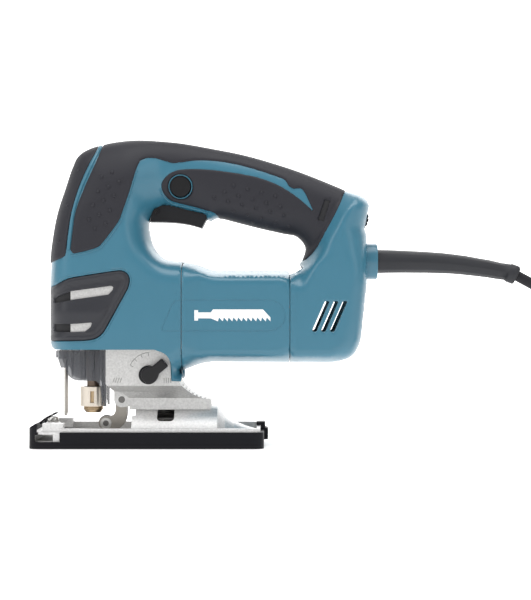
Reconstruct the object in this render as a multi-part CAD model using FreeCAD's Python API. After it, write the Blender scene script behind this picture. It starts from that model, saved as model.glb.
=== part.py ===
"""Mains jigsaw with a D handle: an assembly of separate, named sub-parts with real joints between them.

Frame: millimetres, +Z up, X from the nose (-X) to the cord (+X), origin under the middle of the bounding box of the
tool without its cord, on the plane of the sole. The line of the plunger and the blade is X = plunger_x, Y = 0.
"""
import FreeCAD
import Part
import math
import os

Vec = FreeCAD.Vector

# ---- driving dimensions -------------------------------------------------------------------------------------------
plunger_x = -77.7        # line of the plunger and the blade
motor_z = 88.0           # height of the motor's axis
seam_front = -15.7       # joint between the front of the handle shells and the motor housing
seam_rear = 57.1         # joint between the motor housing and the rear of the handle shells
front_half = 33.0        # half width of the front cover
handle_half = 19.0       # half width of the grip
rear_half = 30.0         # half width of the rear cover
wall = 2.6               # moulded wall
gap = 0.3                # clearance between moulded or cast pieces
run_gap = 0.04           # radial clearance of a running fit
seam_gap = 0.15          # shut line between the moulded pieces
stroke = 26.0            # travel of the plunger
stroke_below = 2.0       # travel left below the stored pose

# gears
module = 0.75
pinion_teeth = 10
gear_teeth = 62
gear_distance = module * (gear_teeth + pinion_teeth) / 2
gear_z = motor_z + gear_distance
crank_radius = stroke / 2

# base
hump_radius = 27.5       # outside of the base's hump about the bevel axis, which lies on the sole's plane
hump_wall = 3.0
base_half = 38.5
base_front = -117.5
base_rear = 39.7
sole_thick = 2.2
rim_top = 10.9           # top of the sole cover's rim
casting_top = 13.4       # top of the base casting's side walls
slide_travel = 6.0       # how far the base shifts back for bevel cuts


# ---- building blocks ----------------------------------------------------------------------------------------------
def profile(*runs):
    """Closed wire in the XZ plane. Each run is a list of (x, z): two points make a line, more make a spline."""
    edges = []
    for run in runs:
        points = [Vec(x, 0, z) for x, z in run]
        if len(points) == 2:
            edges.append(Part.LineSegment(*points).toShape())
        else:
            curve = Part.BSplineCurve()
            curve.interpolate(points)
            edges.append(curve.toShape())
    start, end = runs[0][0], runs[-1][-1]
    if math.dist(start, end) > 1e-6:
        edges.append(Part.LineSegment(Vec(end[0], 0, end[1]), Vec(start[0], 0, start[1])).toShape())
    return Part.Wire(Part.__sortEdges__(edges))


def polygon(*points):
    return profile(*[[points[i], points[(i + 1) % len(points)]] for i in range(len(points))])


def slab(wire, y0, y1):
    """Prism of an XZ wire between two Y planes."""
    moved = wire.copy()
    moved.translate(Vec(0, y0, 0))
    return Part.Face(moved).extrude(Vec(0, y1 - y0, 0))


def plan(wire, z0, z1):
    """Prism between two heights of a wire drawn as (x, y) in profile()."""
    turned = wire.copy()
    turned.rotate(Vec(0, 0, 0), Vec(1, 0, 0), -90)
    turned.translate(Vec(0, 0, z0))
    return Part.Face(turned).extrude(Vec(0, 0, z1 - z0))


def section(wire, x0, x1):
    """Prism along X of a wire drawn as (y, z) in profile()."""
    turned = wire.copy()
    turned.rotate(Vec(0, 0, 0), Vec(0, 0, 1), 90)
    turned.translate(Vec(x0, 0, 0))
    return Part.Face(turned).extrude(Vec(x1 - x0, 0, 0))


def box(x0, x1, y0, y1, z0, z1):
    return Part.makeBox(x1 - x0, y1 - y0, z1 - z0, Vec(x0, y0, z0))


def rod(start, end, radius, bore=0.0):
    axis = end - start
    solid = Part.makeCylinder(radius, axis.Length, start, axis)
    return solid.cut(Part.makeCylinder(bore, axis.Length, start, axis)) if bore else solid


def rod_x(x0, x1, z, radius, bore=0.0, y=0.0):
    return rod(Vec(x0, y, z), Vec(x1, y, z), radius, bore)


def rod_y(y0, y1, x, z, radius, bore=0.0):
    return rod(Vec(x, y0, z), Vec(x, y1, z), radius, bore)


def rod_z(z0, z1, x, radius, bore=0.0, y=0.0):
    return rod(Vec(x, y, z0), Vec(x, y, z1), radius, bore)


def fuse(*shapes):
    return shapes[0].multiFuse(list(shapes[1:])).removeSplitter()


def common(*shapes):
    whole = shapes[0]
    for shape in shapes[1:]:
        whole = whole.common(shape)
    return whole


def mirror(shape):
    return shape.mirror(Vec(0, 0, 0), Vec(0, 1, 0))


def rounded(shape, radius, chosen):
    """Fillets the edges for which chosen(edge) is true."""
    return shape.makeFillet(radius, [e for e in shape.Edges if chosen(e)])


def upright(e):
    return e.BoundBox.XLength < 1e-6 and e.BoundBox.YLength < 1e-6


def save(name, *shapes):
    solids = [s for shape in shapes for s in shape.Solids]
    for s in solids:
        if not s.isValid() or s.Volume <= 0:
            raise ValueError(f"{name} has a bad solid")
    os.makedirs("parts", exist_ok=True)
    whole = solids[0] if len(solids) == 1 else Part.makeCompound(solids)
    whole.exportStep(f"parts/{name}.step")
    print(f"{name}: {len(solids)} solid(s), {sum(s.Volume for s in solids) / 1000:.2f} cm3")


# ---- outer body: front cover, D handle and rear cover ---------------------------------------------------------------
def front_block():
    nose = [(-103.5, 66), (-106.2, 72), (-106.6, 99), (-105.8, 125.5), (-103.8, 143.3), (-100.7, 159.5),
            (-95.9, 175), (-91, 190), (-86.9, 197.7), (-79.4, 202.5), (-67.7, 205.9), (-52.5, 208), (-30, 207.6)]
    column = [(-33.5, 160.5), (-38.8, 152), (-38.8, 146), (-36, 135.8), (-28.4, 127.6), (seam_front, 126.2)]
    arch = [(-21.6, 52), (-25, 62), (-33.6, 66)]
    side = profile(nose, [(-30, 207.6), (-30, 163.3)], [(-30, 163.3), (-33.5, 160.5)], column,
                   [(seam_front, 126.2), (seam_front, 45.8)], [(seam_front, 45.8), (-21.6, 45.8)],
                   [(-21.6, 45.8), (-21.6, 52)], arch)
    bow = [(-90, -front_half), (-101, -27), (-106.7, -12), (-107, 0), (-106.7, 12), (-101, 27), (-90, front_half)]
    above = profile(bow, [(-90, front_half), (-10, front_half)], [(-10, front_half), (-10, -front_half)],
                    [(-10, -front_half), (-90, -front_half)])
    crown = [(-front_half, 140), (-30.5, 172), (-23, 198), (-12, 207), (0, 208.5), (12, 207), (23, 198),
             (30.5, 172), (front_half, 140)]
    ahead = profile(crown, [(front_half, 140), (front_half, 40)], [(front_half, 40), (-front_half, 40)],
                    [(-front_half, 40), (-front_half, 140)])
    return common(slab(side, -40, 40), plan(above, 30, 220), section(ahead, -120, 0))


def handle_bar():
    """Oval grip: (x, top z, bottom z) at each section."""
    stations = [(-52, 207, 150), (-18, 206.4, 162), (20, 199.2, 153.2), (60, 187.9, 143.3), (88, 176.2, 128)]
    wires = []
    for x, top, bottom in stations:
        oval = Part.Ellipse(Vec(0, 0, 0), (top - bottom) / 2, handle_half)
        wire = Part.Wire(oval.toShape())
        wire.rotate(Vec(0, 0, 0), Vec(0, 1, 0), 90)
        wire.translate(Vec(x, 0, (top + bottom) / 2))
        wires.append(wire)
    return Part.makeLoft(wires, True, False)


def rear_block():
    back = [(111.9, 164), (109.4, 168.8), (103, 172.4), (93, 174.6)]
    heel = [(92, 56.7), (101.5, 60.5), (106, 72)]
    throat = [(68.4, 136), (66.8, 127.8), (62.8, 122.4), (seam_rear, 119.4)]
    side = profile([(seam_rear, 56.7), (92, 56.7)], heel, [(106, 72), (110, 110)], [(110, 110), (110.2, 143)],
                   [(110.2, 143), (108.8, 147.5)], [(108.8, 147.5), (111.9, 164)], back, [(93, 174.6), (68.4, 136)],
                   throat, [(seam_rear, 119.4), (seam_rear, 56.7)])
    stern = [(92, rear_half), (106, 24), (111.6, 10), (112, 0), (111.6, -10), (106, -24), (92, -rear_half)]
    above = profile([(50, rear_half), (92, rear_half)], stern, [(92, -rear_half), (50, -rear_half)],
                    [(50, -rear_half), (50, rear_half)])
    crown = [(rear_half, 118), (26, 152), (17, 171), (0, 176), (-17, 171), (-26, 152), (-rear_half, 118)]
    ahead = profile(crown, [(-rear_half, 118), (-rear_half, 66)], [(-rear_half, 66), (-22, 56)],
                    [(-22, 56), (22, 56)], [(22, 56), (rear_half, 66)], [(rear_half, 66), (rear_half, 118)])
    boss = rod_x(104, 117.4, 125.8, 12.5)
    return fuse(common(slab(side, -40, 40), plan(above, 30, 220), section(ahead, 40, 130)), boss)


def grille_zone(margin=0.0):
    """Side-view region of the front grille."""
    m = margin
    return slab(polygon((-112, 71.6 - m), (-76, 71.6 - m), (-68, 77 - m), (-52.6 + m, 110), (-52.6 + m, 117 + m),
                        (-57, 120.6 + m), (-90, 113.5 + m), (-112, 106 + m)), -45, 45)


def nose_hollow(inset):
    """Prism that leaves a wall of the given thickness round the nose."""
    half, tip = front_half - inset, -107 + inset
    bow = [(-90, -half), (-100, -25), (tip + 0.3, -11), (tip, 0), (tip + 0.3, 11), (-100, 25), (-90, half)]
    return profile(bow, [(-90, half), (-10, half)], [(-10, half), (-10, -half)], [(-10, -half), (-90, -half)])


def grip_zone():
    """Side-view region of the soft grip behind the nose strip and along the top and side of the handle."""
    pad = [(-92.2, 132.2), (-76, 136), (-61, 155), (-47.6, 190), (-38, 197.3), (-24, 193.8), (20, 193.5), (58, 181),
           (65, 172), (73, 162)]
    lower = [(57, 174), (34, 183.5), (-7, 191), (-30, 185), (-31, 176), (-20, 167), (6, 160)]
    return slab(profile(*[[pad[i], pad[i + 1]] for i in range(len(pad) - 1)],
                        [pad[-1], lower[0]], *[[lower[i], lower[i + 1]] for i in range(len(lower) - 1)],
                        [lower[-1], (6, 140)], [(6, 140), (72, 124)], [(72, 124), (98, 172)], [(98, 172), (92, 215)],
                        [(92, 215), (-68, 215)], [(-68, 215), (-92.2, 132.2)]), -45, 45)


def nose_zone():
    """Side-view region of the soft pad on the nose, ahead of the strip."""
    return slab(polygon((-112, 123), (-97.5, 130.5), (-73.5, 215), (-112, 215)), -45, 45)


def column_inside(back, top):
    """Side view of the room in the front cover: its back edge follows the front of the hand opening."""
    return slab(polygon((-120, 30), (back, 30), (back, 123.4), (-29.6, 124.8), (-38.4, 134.4), (-41.4, 145.6),
                        (-41.4, top), (-120, top)), -45, 45)


def body_cavity():
    """The room inside the two shells."""
    chamber = common(plan(nose_hollow(wall), 40, 151.5), column_inside(-14, 151.5))
    nose_top = box(-94, -40, -15, 15, 151, 198)
    grip_hollow = slab(polygon((-60, 198), (-20, 198), (30, 190), (90, 168), (96, 150), (58, 152), (20, 160),
                               (-26, 169.5), (-34, 164), (-44, 150), (-60, 150)), -13.5, 13.5)
    rear = common(box(seam_rear - 1, 104, -27, 27, 59.5, 116), slab(polygon((50, 59.5), (92, 59.5), (101, 66),
                                                                        (106, 116), (50, 116)), -30, 30))
    rear_top = slab(polygon((70, 115), (106, 115), (106.5, 141), (104.5, 166), (92, 168)), -20, 20)
    neck = rod_x(100, 120, 125.8, 8.4)
    trigger_slot = slab(polygon((-41.5, 148), (3.4, 148), (3.4, 165), (-26, 172), (-41.5, 172)), -8.6, 8.6)
    dial_slot = box(88, 115, -4.6, 4.6, 144, 167)
    return [chamber, nose_top, grip_hollow, rear, rear_top, neck, trigger_slot, dial_slot]


button_x, button_z = -16.9, 176.1
vent_slots = [slab(polygon((82.6 + 6 * i, 98.6), (84.9 + 6 * i, 98.6), (75.3 + 6 * i, 78.4), (73.0 + 6 * i, 78.4)),
                   -45, 45) for i in range(3)]
rear_vents = [box(98, 116, -17, 17, 77 + 5.9 * i, 79.4 + 5.9 * i) for i in range(5)]
screw_places = [(-92, 128), (-60, 187), (-48, 158), (30, 176), (78, 160), (96, 66), (92, 110)]
trigger_pivot = (-34.0, 160.0)


def shells_and_grips():
    block = fuse(front_block(), handle_bar(), rear_block())
    outer = block
    ring = plan(nose_hollow(-2), 40, 151.5).cut(plan(nose_hollow(wall), 40, 151.5))
    keep_out = body_cavity() + [common(grille_zone(seam_gap), ring), *vent_slots, *rear_vents]
    for tool in keep_out:
        outer = outer.cut(tool)
    outer = outer.multiFuse([block.common(rod_y(-40, 40, x, z, 5)) for x, z in screw_places])
    for x, z in screw_places:
        outer = outer.cut(rod_y(-8, 12, x, z, 1.5))
    outer = outer.cut(rod_y(-11, 11, *trigger_pivot, 1.6))
    button_hole = rod_y(-40, -5, button_x, button_z, 7.1)
    pads = {"side": (grip_zone(), 16.2, -60), "front": (common(grip_zone(), box(-120, -40, -45, 45, 100, 220)), 29, 0),
            "nose": (nose_zone(), 20, 0)}
    soft_zone = fuse(common(pads["front"][0], box(-130, 0, -45, -29, 100, 220)),
                     common(pads["side"][0], box(-39, 130, -45, -16.2, 100, 220)),
                     common(pads["nose"][0], box(-130, 0, -45, -20, 100, 220)))
    halves = {}
    for side, space, soft in (("left", box(-130, 130, -60, 0, 0, 230), soft_zone),
                              ("right", box(-130, 130, 0, 60, 0, 230), mirror(soft_zone))):
        half = outer.common(space)
        if side == "left":
            half = half.cut(button_hole)
        else:
            for x, z in screw_places:
                half = half.cut(rod_y(12, 45, x, z, 3.6))
        halves["grip_" + side] = half.common(soft)
        halves["handle_" + side] = half.cut(soft)
    return halves, ring


def keep_large(shape, least=200.0):
    return [s for s in shape.Solids if s.Volume > least]


halves, nose_ring = shells_and_grips()
for name, shape in halves.items():
    save(name, *keep_large(shape))


def front_grille():
    """Ring of louvred moulding in the window of the two front covers, open at two slots on each side."""
    ring = common(grille_zone(), nose_ring)
    upper = slab(polygon((-112, 100), (-74, 102.6), (-64.5, 104.4), (-66.5, 98.6), (-95, 96), (-112, 96)), -45, 45)
    lower = slab(polygon((-93.5, 84.5), (-79, 85), (-84, 78.6), (-93.3, 78.4)), -45, 45)
    return ring.cut(upper).cut(lower)


save("front_grille", *keep_large(front_grille(), 50))


# ---- motor housing -------------------------------------------------------------------------------------------------
def squared(half_y, z0, z1, x0, x1, radius):
    block = box(x0, x1, -half_y, half_y, z0, z1)
    return rounded(block, radius, lambda e: e.BoundBox.YLength < 1e-6 and e.BoundBox.ZLength < 1e-6)


screw_corners = ((23.5, 111.5), (-23.5, 111.5), (20.5, 64.5), (-20.5, 64.5))


def motor_housing():
    front = squared(32.6, 51.1, 125.6, seam_front + seam_gap, -6, 15)
    barrel = squared(31, 57, 119.2, -8, seam_rear - seam_gap, 14)
    carrier = rod_x(56, 76, motor_z, 26)
    bore = rod_x(-20, 72, motor_z, 28.3)
    whole = fuse(front, barrel, carrier).cut(rod_x(-20, 56.5, motor_z, 28.3)).cut(rod_x(56, 66, motor_z, 24))
    whole = whole.cut(rod_x(66, 73, motor_z, 9.5)).cut(rod_x(60, 80, motor_z, 5))
    for y, z in screw_corners:
        whole = whole.cut(rod_x(-20, -6, z, 2, y=y))
    for y in (-1, 1):
        whole = whole.cut(box(51.5, 62.5, min(y * 10, y * 30), max(y * 10, y * 30), motor_z - 6, motor_z + 6))
    return whole


save("motor_housing", motor_housing())


# ---- gear housing --------------------------------------------------------------------------------------------------
foot_half = 12.7
bolt_x = -24.0
bolt_radius = 2.5
roller_pivot = (-57.2, 31.5)
lever_pivot = (-37.0, 48.9)


def gear_housing():
    tub = common(box(-66, -15.55, -30.4, 30.4, 66.4, 150.5), column_inside(-15.55, 150.5))
    tub = tub.cut(slab(polygon((-70, 60), (-25, 60), (-25, 113.5), (-34, 117), (-45.5, 130), (-49.5, 143),
                               (-49.5, 147.3), (-70, 147.3)), -27.5, 27.5))
    tub = tub.cut(slab(polygon((-70, 60), (-25, 60), (-25, 121), (-31, 122.3), (-41, 133), (-44, 145), (-44, 147.3),
                               (-70, 147.3)), -21.5, 21.5))
    tub = tub.cut(box(-20.3, -10, -27.5, 27.5, 60, 113.5))
    near_hand = polygon((-43.4, 156), (-43.4, 145.6), (-40.2, 133.6), (-31, 123.7), (-14, 120.6), (-14, 160))
    by_hand = polygon((-47.8, 156), (-47.7, 144.8), (-44.2, 131.5), (-32.5, 119.5), (-14, 116.2), (-14, 160))
    for s in (-1, 1):
        tub = tub.cut(slab(near_hand, min(s * 17.5, s * 45), max(s * 17.5, s * 45)))
        tub = tub.cut(slab(by_hand, min(s * 24.5, s * 45), max(s * 24.5, s * 45)))
    roof = box(-86, -60, -11, 11, 136, 150.5)
    chin = box(-92, -62, -11, 11, 67, 81)
    side = profile([(-51.5, 24), (3.5, 24)], [(3.5, 24), (3.5, 31.5)],
                   [(3.5, 31.5), (-8, 35), (-17, 43)], [(-17, 43), (-20.8, 50)], [(-20.8, 50), (-20.8, 67)],
                   [(-20.8, 67), (-67, 67)], [(-67, 67), (-67, 42.5)], [(-67, 42.5), (-62, 37.5)],
                   [(-62, 37.5), (-57.2, 36.6)], [(-57.2, 36.6), (-52.5, 33)], [(-52.5, 33), (-51.5, 24)])
    ahead = polygon((-foot_half, 20), (foot_half, 20), (foot_half, 32.6), (17.2, 37.4), (25, 41.5), (25, 67),
                    (-25, 67), (-25, 41.5), (-17.2, 37.4), (-foot_half, 32.6))
    block = common(slab(side, -30, 30), section(ahead, -80, 10))
    block = block.cut(rod_x(-80, 20, 0, hump_radius + gap))
    block = block.cut(box(-64, -25, -22, 22, 45, 70).cut(box(-80, 0, -30, 30, 40, 45)))
    boss = rod_x(-31, -20.3, motor_z, 12.5)
    pillar = rod_x(-34, -20.3, gear_z, 7)
    lug = slab(polygon((-57.2, 36.7), (-50, 37), (-50, 27), (-57.2, 26.3)), -foot_half, foot_half)
    lug = fuse(lug, rod_y(-foot_half, foot_half, *roller_pivot, 5.2), box(-62.4, -57, -foot_half, foot_half, 31.5, 38))
    cheeks = [box(-90, -65, min(s * 27.5, s * 30.4), max(s * 27.5, s * 30.4), 70, 112) for s in (-1, 1)]
    whole = fuse(tub, roof, chin, block, lug, boss, pillar, *cheeks)
    whole = whole.cut(rod_x(-32, -23, motor_z, 9.5)).cut(rod_x(-32, -15, motor_z, 5.5))
    whole = whole.cut(rod_x(-40, -18, gear_z, 4))
    whole = whole.cut(rod_z(60, 82, plunger_x, 8)).cut(rod_z(130, 149, plunger_x, 8))
    whole = whole.cut(rod_z(148, 152, plunger_x, 5.4))
    whole = whole.cut(box(-72, -50, -7.7, 7.7, 20, 41)).cut(rod_y(-14, 14, *roller_pivot, 2.3))
    whole = whole.cut(rod_z(20, 40, bolt_x, bolt_radius))
    for y in (-3.2, 3.2):
        whole = whole.cut(rod_x(-95, -88, 74, 0.95, y=y))
    whole = whole.cut(rod_y(-26, -14, *lever_pivot, 4 + run_gap))
    for y, z in screw_corners:
        whole = whole.cut(rod_x(-26, -10, z, 2, y=y)).cut(rod_x(-28, -25, z, 3.2, y=y))
    return whole


save("gear_housing", gear_housing())
save("plunger_bushes", rod_z(67, 81, plunger_x, 8, 5 + run_gap), rod_z(136, 148.5, plunger_x, 8, 5 + run_gap))
save("gear_shaft", rod_x(-53.5, -20.3, gear_z, 4))
save("front_bearing", rod_x(-31, -23, motor_z, 9.5, 4 + run_gap))
save("rear_bearing", rod_x(66, 73, motor_z, 9.5, 4 + run_gap))
save("gear_housing_screws", *[fuse(rod_x(-28, -25, z, 3.2, y=y), rod_x(-25.5, -8, z, 2, y=y))
                              for y, z in screw_corners])


# ---- motor ---------------------------------------------------------------------------------------------------------
def stator_core():
    ring = rod_x(8, 47, motor_z, 28.3, 23)
    poles = common(rod_x(8, 47, motor_z, 24), box(8, 47, -30, 30, motor_z - 8, motor_z + 8))
    return fuse(ring, poles).cut(rod_x(0, 60, motor_z, 16.4))


def field_coils():
    ring = rod_x(3, 51, motor_z, 22.8, 17)
    return [common(ring, box(0, 60, -30, 30, *span)) for span in ((motor_z + 8.3, 120), (50, motor_z - 8.3))]


def armature_core():
    core = rod_x(10, 45, motor_z, 15.5, 4)
    for i in range(12):
        slot = box(5, 50, -0.9, 0.9, motor_z + 9, motor_z + 16)
        slot.rotate(Vec(0, 0, motor_z), Vec(1, 0, 0), 30 * i)
        core = core.cut(slot)
    return core


def commutator():
    barrel = rod_x(51.5, 62, motor_z, 11, 4)
    for i in range(24):
        cut = box(50, 64, -0.25, 0.25, motor_z + 10.2, motor_z + 12)
        cut.rotate(Vec(0, 0, motor_z), Vec(1, 0, 0), 15 * i)
        barrel = barrel.cut(cut)
    return barrel


def fan():
    whole = [rod_x(-14.5, -12.5, motor_z, 25, 4), rod_x(-14.5, -5.5, motor_z, 7, 4)]
    for i in range(15):
        blade = box(-13, -6, -0.8, 0.8, motor_z + 6, motor_z + 24.5)
        blade.rotate(Vec(-10, 0, motor_z + 14), Vec(1, 0, 0), 25)
        blade.rotate(Vec(0, 0, motor_z), Vec(1, 0, 0), 24 * i)
        whole.append(blade)
    return fuse(*whole)


save("stator_core", stator_core())
save("field_coils", *field_coils())
save("brush_holders", *[box(52, 62, min(s * 12.5, s * 23.6), max(s * 12.5, s * 23.6), motor_z - 5.4, motor_z + 5.4)
                        .cut(box(53.5, 60.5, -30, 30, motor_z - 3.3, motor_z + 3.3)) for s in (-1, 1)])
save("carbon_brushes", *[box(53.6, 60.4, min(s * 11.05, s * 21), max(s * 11.05, s * 21), motor_z - 3.2, motor_z + 3.2)
                         for s in (-1, 1)])
save("baffle_plate", rod_x(-4.6, -3, motor_z, 28.2, 19))
save("armature_shaft", fuse(rod_x(-51, -38, motor_z, 2.4), rod_x(-38, 75, motor_z, 4)))
save("armature_core", armature_core())
save("armature_windings", rod_x(4, 10, motor_z, 14, 4), rod_x(45, 50.5, motor_z, 14, 4))
save("commutator", commutator())
save("fan", fan())


# ---- gears ---------------------------------------------------------------------------------------------------------
def gear(teeth, x0, x1, z, start_angle):
    """Spur gear about the X axis; angles from +Y towards +Z; start_angle is the middle of a tooth."""
    pitch = module * teeth / 2
    root, tip = pitch - 1.3 * module, pitch + 0.85 * module
    half = math.pi * module * 0.2 / pitch
    points = []
    for i in range(teeth):
        middle = math.radians(start_angle) + i * 2 * math.pi / teeth
        for radius, turn in ((root, -1.7 * half), (tip, -0.55 * half), (tip, 0.55 * half), (root, 1.7 * half)):
            points.append((radius * math.cos(middle + turn), z + radius * math.sin(middle + turn)))
    return section(polygon(*points), x0, x1)


rest_turn = math.degrees(math.acos((crank_radius - stroke_below) / crank_radius))
pin_y = crank_radius * math.sin(math.radians(rest_turn))
pin_z = gear_z - crank_radius * math.cos(math.radians(rest_turn))
weight_y = -pin_y / 2
weight_z = gear_z + (gear_z - pin_z) / 2


def crank_gear():
    wheel = fuse(gear(gear_teeth, -50, -43.3, gear_z, -90 + 180 / gear_teeth), rod_x(-52, -35, gear_z, 7))
    for i in range(6):
        hole = rod_x(-55, -30, gear_z + 15 * math.cos(math.radians(30 + 60 * i)), 3.2,
                     y=15 * math.sin(math.radians(30 + 60 * i)))
        wheel = wheel.cut(hole)
    return wheel.cut(rod_x(-60, -30, gear_z, 4 + run_gap))


save("pinion", gear(pinion_teeth, -50.8, -42.4, motor_z, 90).cut(rod_x(-55, -30, motor_z, 2.4)))
save("crank_gear", crank_gear())
save("crank_pin", rod_x(-64.3, -50, pin_z, 3.5, y=pin_y))
save("eccentric", rod_x(-53.4, -50, weight_z, 9, y=weight_y).cut(rod_x(-60, -40, gear_z, 7)))


def counterweight():
    """Frame round the crank pin's path, with its mass in the top bar, moving against the plunger."""
    frame = box(-59.4, -54.8, -26.8, 26.8, 91, 145)
    frame = frame.cut(slab_x_window())
    return frame


def slab_x_window():
    window = box(-65, -50, -17.6, 17.6, 97, 139.6)
    return rounded(window, 8, lambda e: e.BoundBox.YLength < 1e-6 and e.BoundBox.ZLength < 1e-6)


save("counterweight", counterweight())


# ---- plunger and blade clamp ---------------------------------------------------------------------------------------
def blade_clamp_core():
    core = fuse(rod_z(24.2, 39.5, plunger_x, 6.5), Part.makeCone(5, 6.5, 2, Vec(plunger_x, 0, 22.2), Vec(0, 0, 1)))
    core = core.cut(box(plunger_x - 4.6, plunger_x + 4.6, -0.85, 0.85, 20, 36))
    return core.cut(rod_y(-7, 7, plunger_x + 2, 32, 1.2))


def clamp_sleeve():
    sleeve = rod_z(26.6, 39.9, plunger_x, 9.1, 6.5 + run_gap)
    return sleeve.cut(box(plunger_x - 1.3, plunger_x + 1.3, -12, 0, 29, 37))


def plunger_yoke():
    bar = box(-73.4, -66, -19.5, 19.5, pin_z - 7.5, pin_z + 7.5)
    bar = bar.cut(box(-70.6, -60, -17, 17, pin_z - 3.9, pin_z + 3.9))
    hub = box(-84, -71, -8, 8, pin_z - 7.5, pin_z + 7.5)
    return fuse(bar, hub).cut(rod_z(80, 130, plunger_x, 5))


save("plunger_rod", fuse(rod_z(39.5, 47, plunger_x, 4.4), rod_z(47, 152, plunger_x, 5)))
save("plunger_yoke", plunger_yoke())
save("blade_clamp_core", blade_clamp_core())
save("clamp_pin", rod_y(-5.6, 5.6, plunger_x + 2, 32, 1.2))
save("clamp_sleeve", clamp_sleeve())


# ---- trigger, lock button, speed dial ------------------------------------------------------------------------------
def trigger():
    side = profile([(-38.6, 152.8), (-37.2, 158.5), (-36, 162.2), (-33, 163.6)],
                   [(-33, 163.6), (-25.3, 164)], [(-25.3, 164), (0.6, 157.5)], [(0.6, 157.5), (0.4, 154.6)],
                   [(0.4, 154.6), (-3, 148.4)], [(-3, 148.4), (-18, 151.9), (-27.7, 152.6), (-38.6, 152.8)])
    return slab(side, -8.2, 8.2).cut(rod_y(-10, 10, *trigger_pivot, 1.6 + run_gap))


save("trigger", trigger())
save("trigger_pin", rod_y(-11, 11, *trigger_pivot, 1.6))
save("lock_button", rod_y(-20.6, -12.5, button_x, button_z, 6.8))
dial_x, dial_z = 101.5, 155.5


def speed_dial():
    wheel = rod_y(-4, 4, dial_x, dial_z, 10)
    for i in range(20):
        notch = box(dial_x - 0.5, dial_x + 0.5, -5, 5, dial_z + 9.4, dial_z + 11)
        notch.rotate(Vec(dial_x, 0, dial_z), Vec(0, 1, 0), 18 * i)
        wheel = wheel.cut(notch)
    return fuse(wheel, rod_y(-8, 8, dial_x, dial_z, 2))


def speed_controller():
    ears = [box(92, 104.4, min(s * 5, s * 7), max(s * 5, s * 7), 140, 158.5) for s in (-1, 1)]
    whole = fuse(box(82.5, 94, -14, 14, 117, 141.5), box(92, 104.4, -7, 7, 138, 141.5), *ears)
    return whole.cut(rod_y(-9, 9, dial_x, dial_z, 2 + run_gap))


save("speed_dial", speed_dial())
save("speed_controller", speed_controller())
save("switch_unit", rounded(box(-28, 8, -8.5, 8.5, 171.5, 189), 1, upright))


# ---- orbit lever, roller arm, guard wire, dust cover ---------------------------------------------------------------
def orbit_lever():
    hub = fuse(rod_y(-31.5, -25.4, *lever_pivot, 5.7), rod_y(-25.6, -15, *lever_pivot, 4))
    arm = box(lever_pivot[0], lever_pivot[0] + 10.5, -31, -26, lever_pivot[1] - 3.2, lever_pivot[1] + 3.2)
    arm = fuse(arm, rod_y(-31, -26, lever_pivot[0] + 10.5, lever_pivot[1], 3.2))
    pointer = slab(polygon((-37, 51.9), (-46.5, 50), (-46.5, 47.8), (-37, 45.9)), -29.5, -26)
    arm.rotate(Vec(lever_pivot[0], 0, lever_pivot[1]), Vec(0, 1, 0), -40)
    return fuse(hub, arm, pointer)


roller_x, roller_z = -68.5, 15.0


def roller_arm():
    """Two bent side plates from the pivot down and forward to the roller, joined by a hub and a web."""
    side = profile([(-61.9, 31.5), (-54.4, 31.5)], [(-54.4, 31.5), (-54.4, 22)],
                   [(-54.4, 22), (-56.4, 14.6), (-60.5, 10.6)], [(-60.5, 10.6), (-68.5, 10.2)],
                   [(-68.5, 10.2), (-68.5, 19.8)], [(-68.5, 19.8), (-64.4, 20), (-61.9, 23.5)],
                   [(-61.9, 23.5), (-61.9, 31.5)])
    plates = []
    for y in (-6.2, 3.8):
        ends = [rod_y(y, y + 2.4, roller_x, roller_z, 4.8), rod_y(y, y + 2.4, *roller_pivot, 4.7)]
        plates.append(fuse(slab(side, y, y + 2.4), *ends))
    hub = rod_y(-6.2, 6.2, *roller_pivot, 4.7)
    web = box(-58.6, -55, -6.2, 6.2, 20.5, 28)
    arm = fuse(*plates, hub, web)
    return arm.cut(rod_y(-10, 10, *roller_pivot, 2.3 + run_gap)).cut(rod_y(-10, 10, roller_x, roller_z, 2))


def roller():
    wheel = rod_y(-3.4, 3.4, roller_x, roller_z, 5.3).cut(rod_y(-5, 5, roller_x, roller_z, 2 + run_gap))
    groove = rod_y(-0.9, 0.9, roller_x, roller_z, 6).cut(rod_y(-2, 2, roller_x, roller_z, 4.1))
    return wheel.cut(groove)


def guard_wire():
    """Bent wire ahead of the blade: two legs, a cross piece at the bottom and two short ends in the gear housing."""
    wire_x, half, low, high = -96.4, 3.2, 21.0, 74.0
    pieces = [rod_z(low, high, wire_x, 0.95, y=s * half) for s in (-1, 1)]
    pieces += [rod_x(wire_x, -88, high, 0.95, y=s * half) for s in (-1, 1)]
    pieces += [rod(Vec(wire_x, -half, low), Vec(wire_x, half, low), 0.95)]
    pieces += [Part.makeSphere(0.95, Vec(wire_x, s * half, z)) for s in (-1, 1) for z in (low, high)]
    return fuse(*pieces)


def dust_cover():
    """Clear guard round the plunger: a folded band with its sides cut to the curve of the casting."""
    band = box(-102, -67.5, -13.2, 13.2, 24, 65)
    band = rounded(band, 5, lambda e: upright(e) and e.CenterOfMass.x < -100)
    inner = rounded(box(-100.4, -60, -11.7, 11.7, 20, 70), 3.6, lambda e: upright(e) and e.CenterOfMass.x < -100)
    side = profile([(-102.5, 65), (-98.5, 53.2)], [(-98.5, 53.2), (-95.2, 53.2)],
                   [(-95.2, 53.2), (-92.6, 47), (-84.2, 44.4)], [(-84.2, 44.4), (-75, 44.2)],
                   [(-75, 44.2), (-72.6, 42), (-71.6, 38.5)], [(-71.6, 38.5), (-71, 33)],
                   [(-71, 33), (-69.8, 31), (-69.2, 26.8)], [(-69.2, 26.8), (-67.5, 26.8)], [(-67.5, 26.8), (-67.5, 65)])
    return common(band.cut(inner), slab(side, -20, 20))


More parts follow.
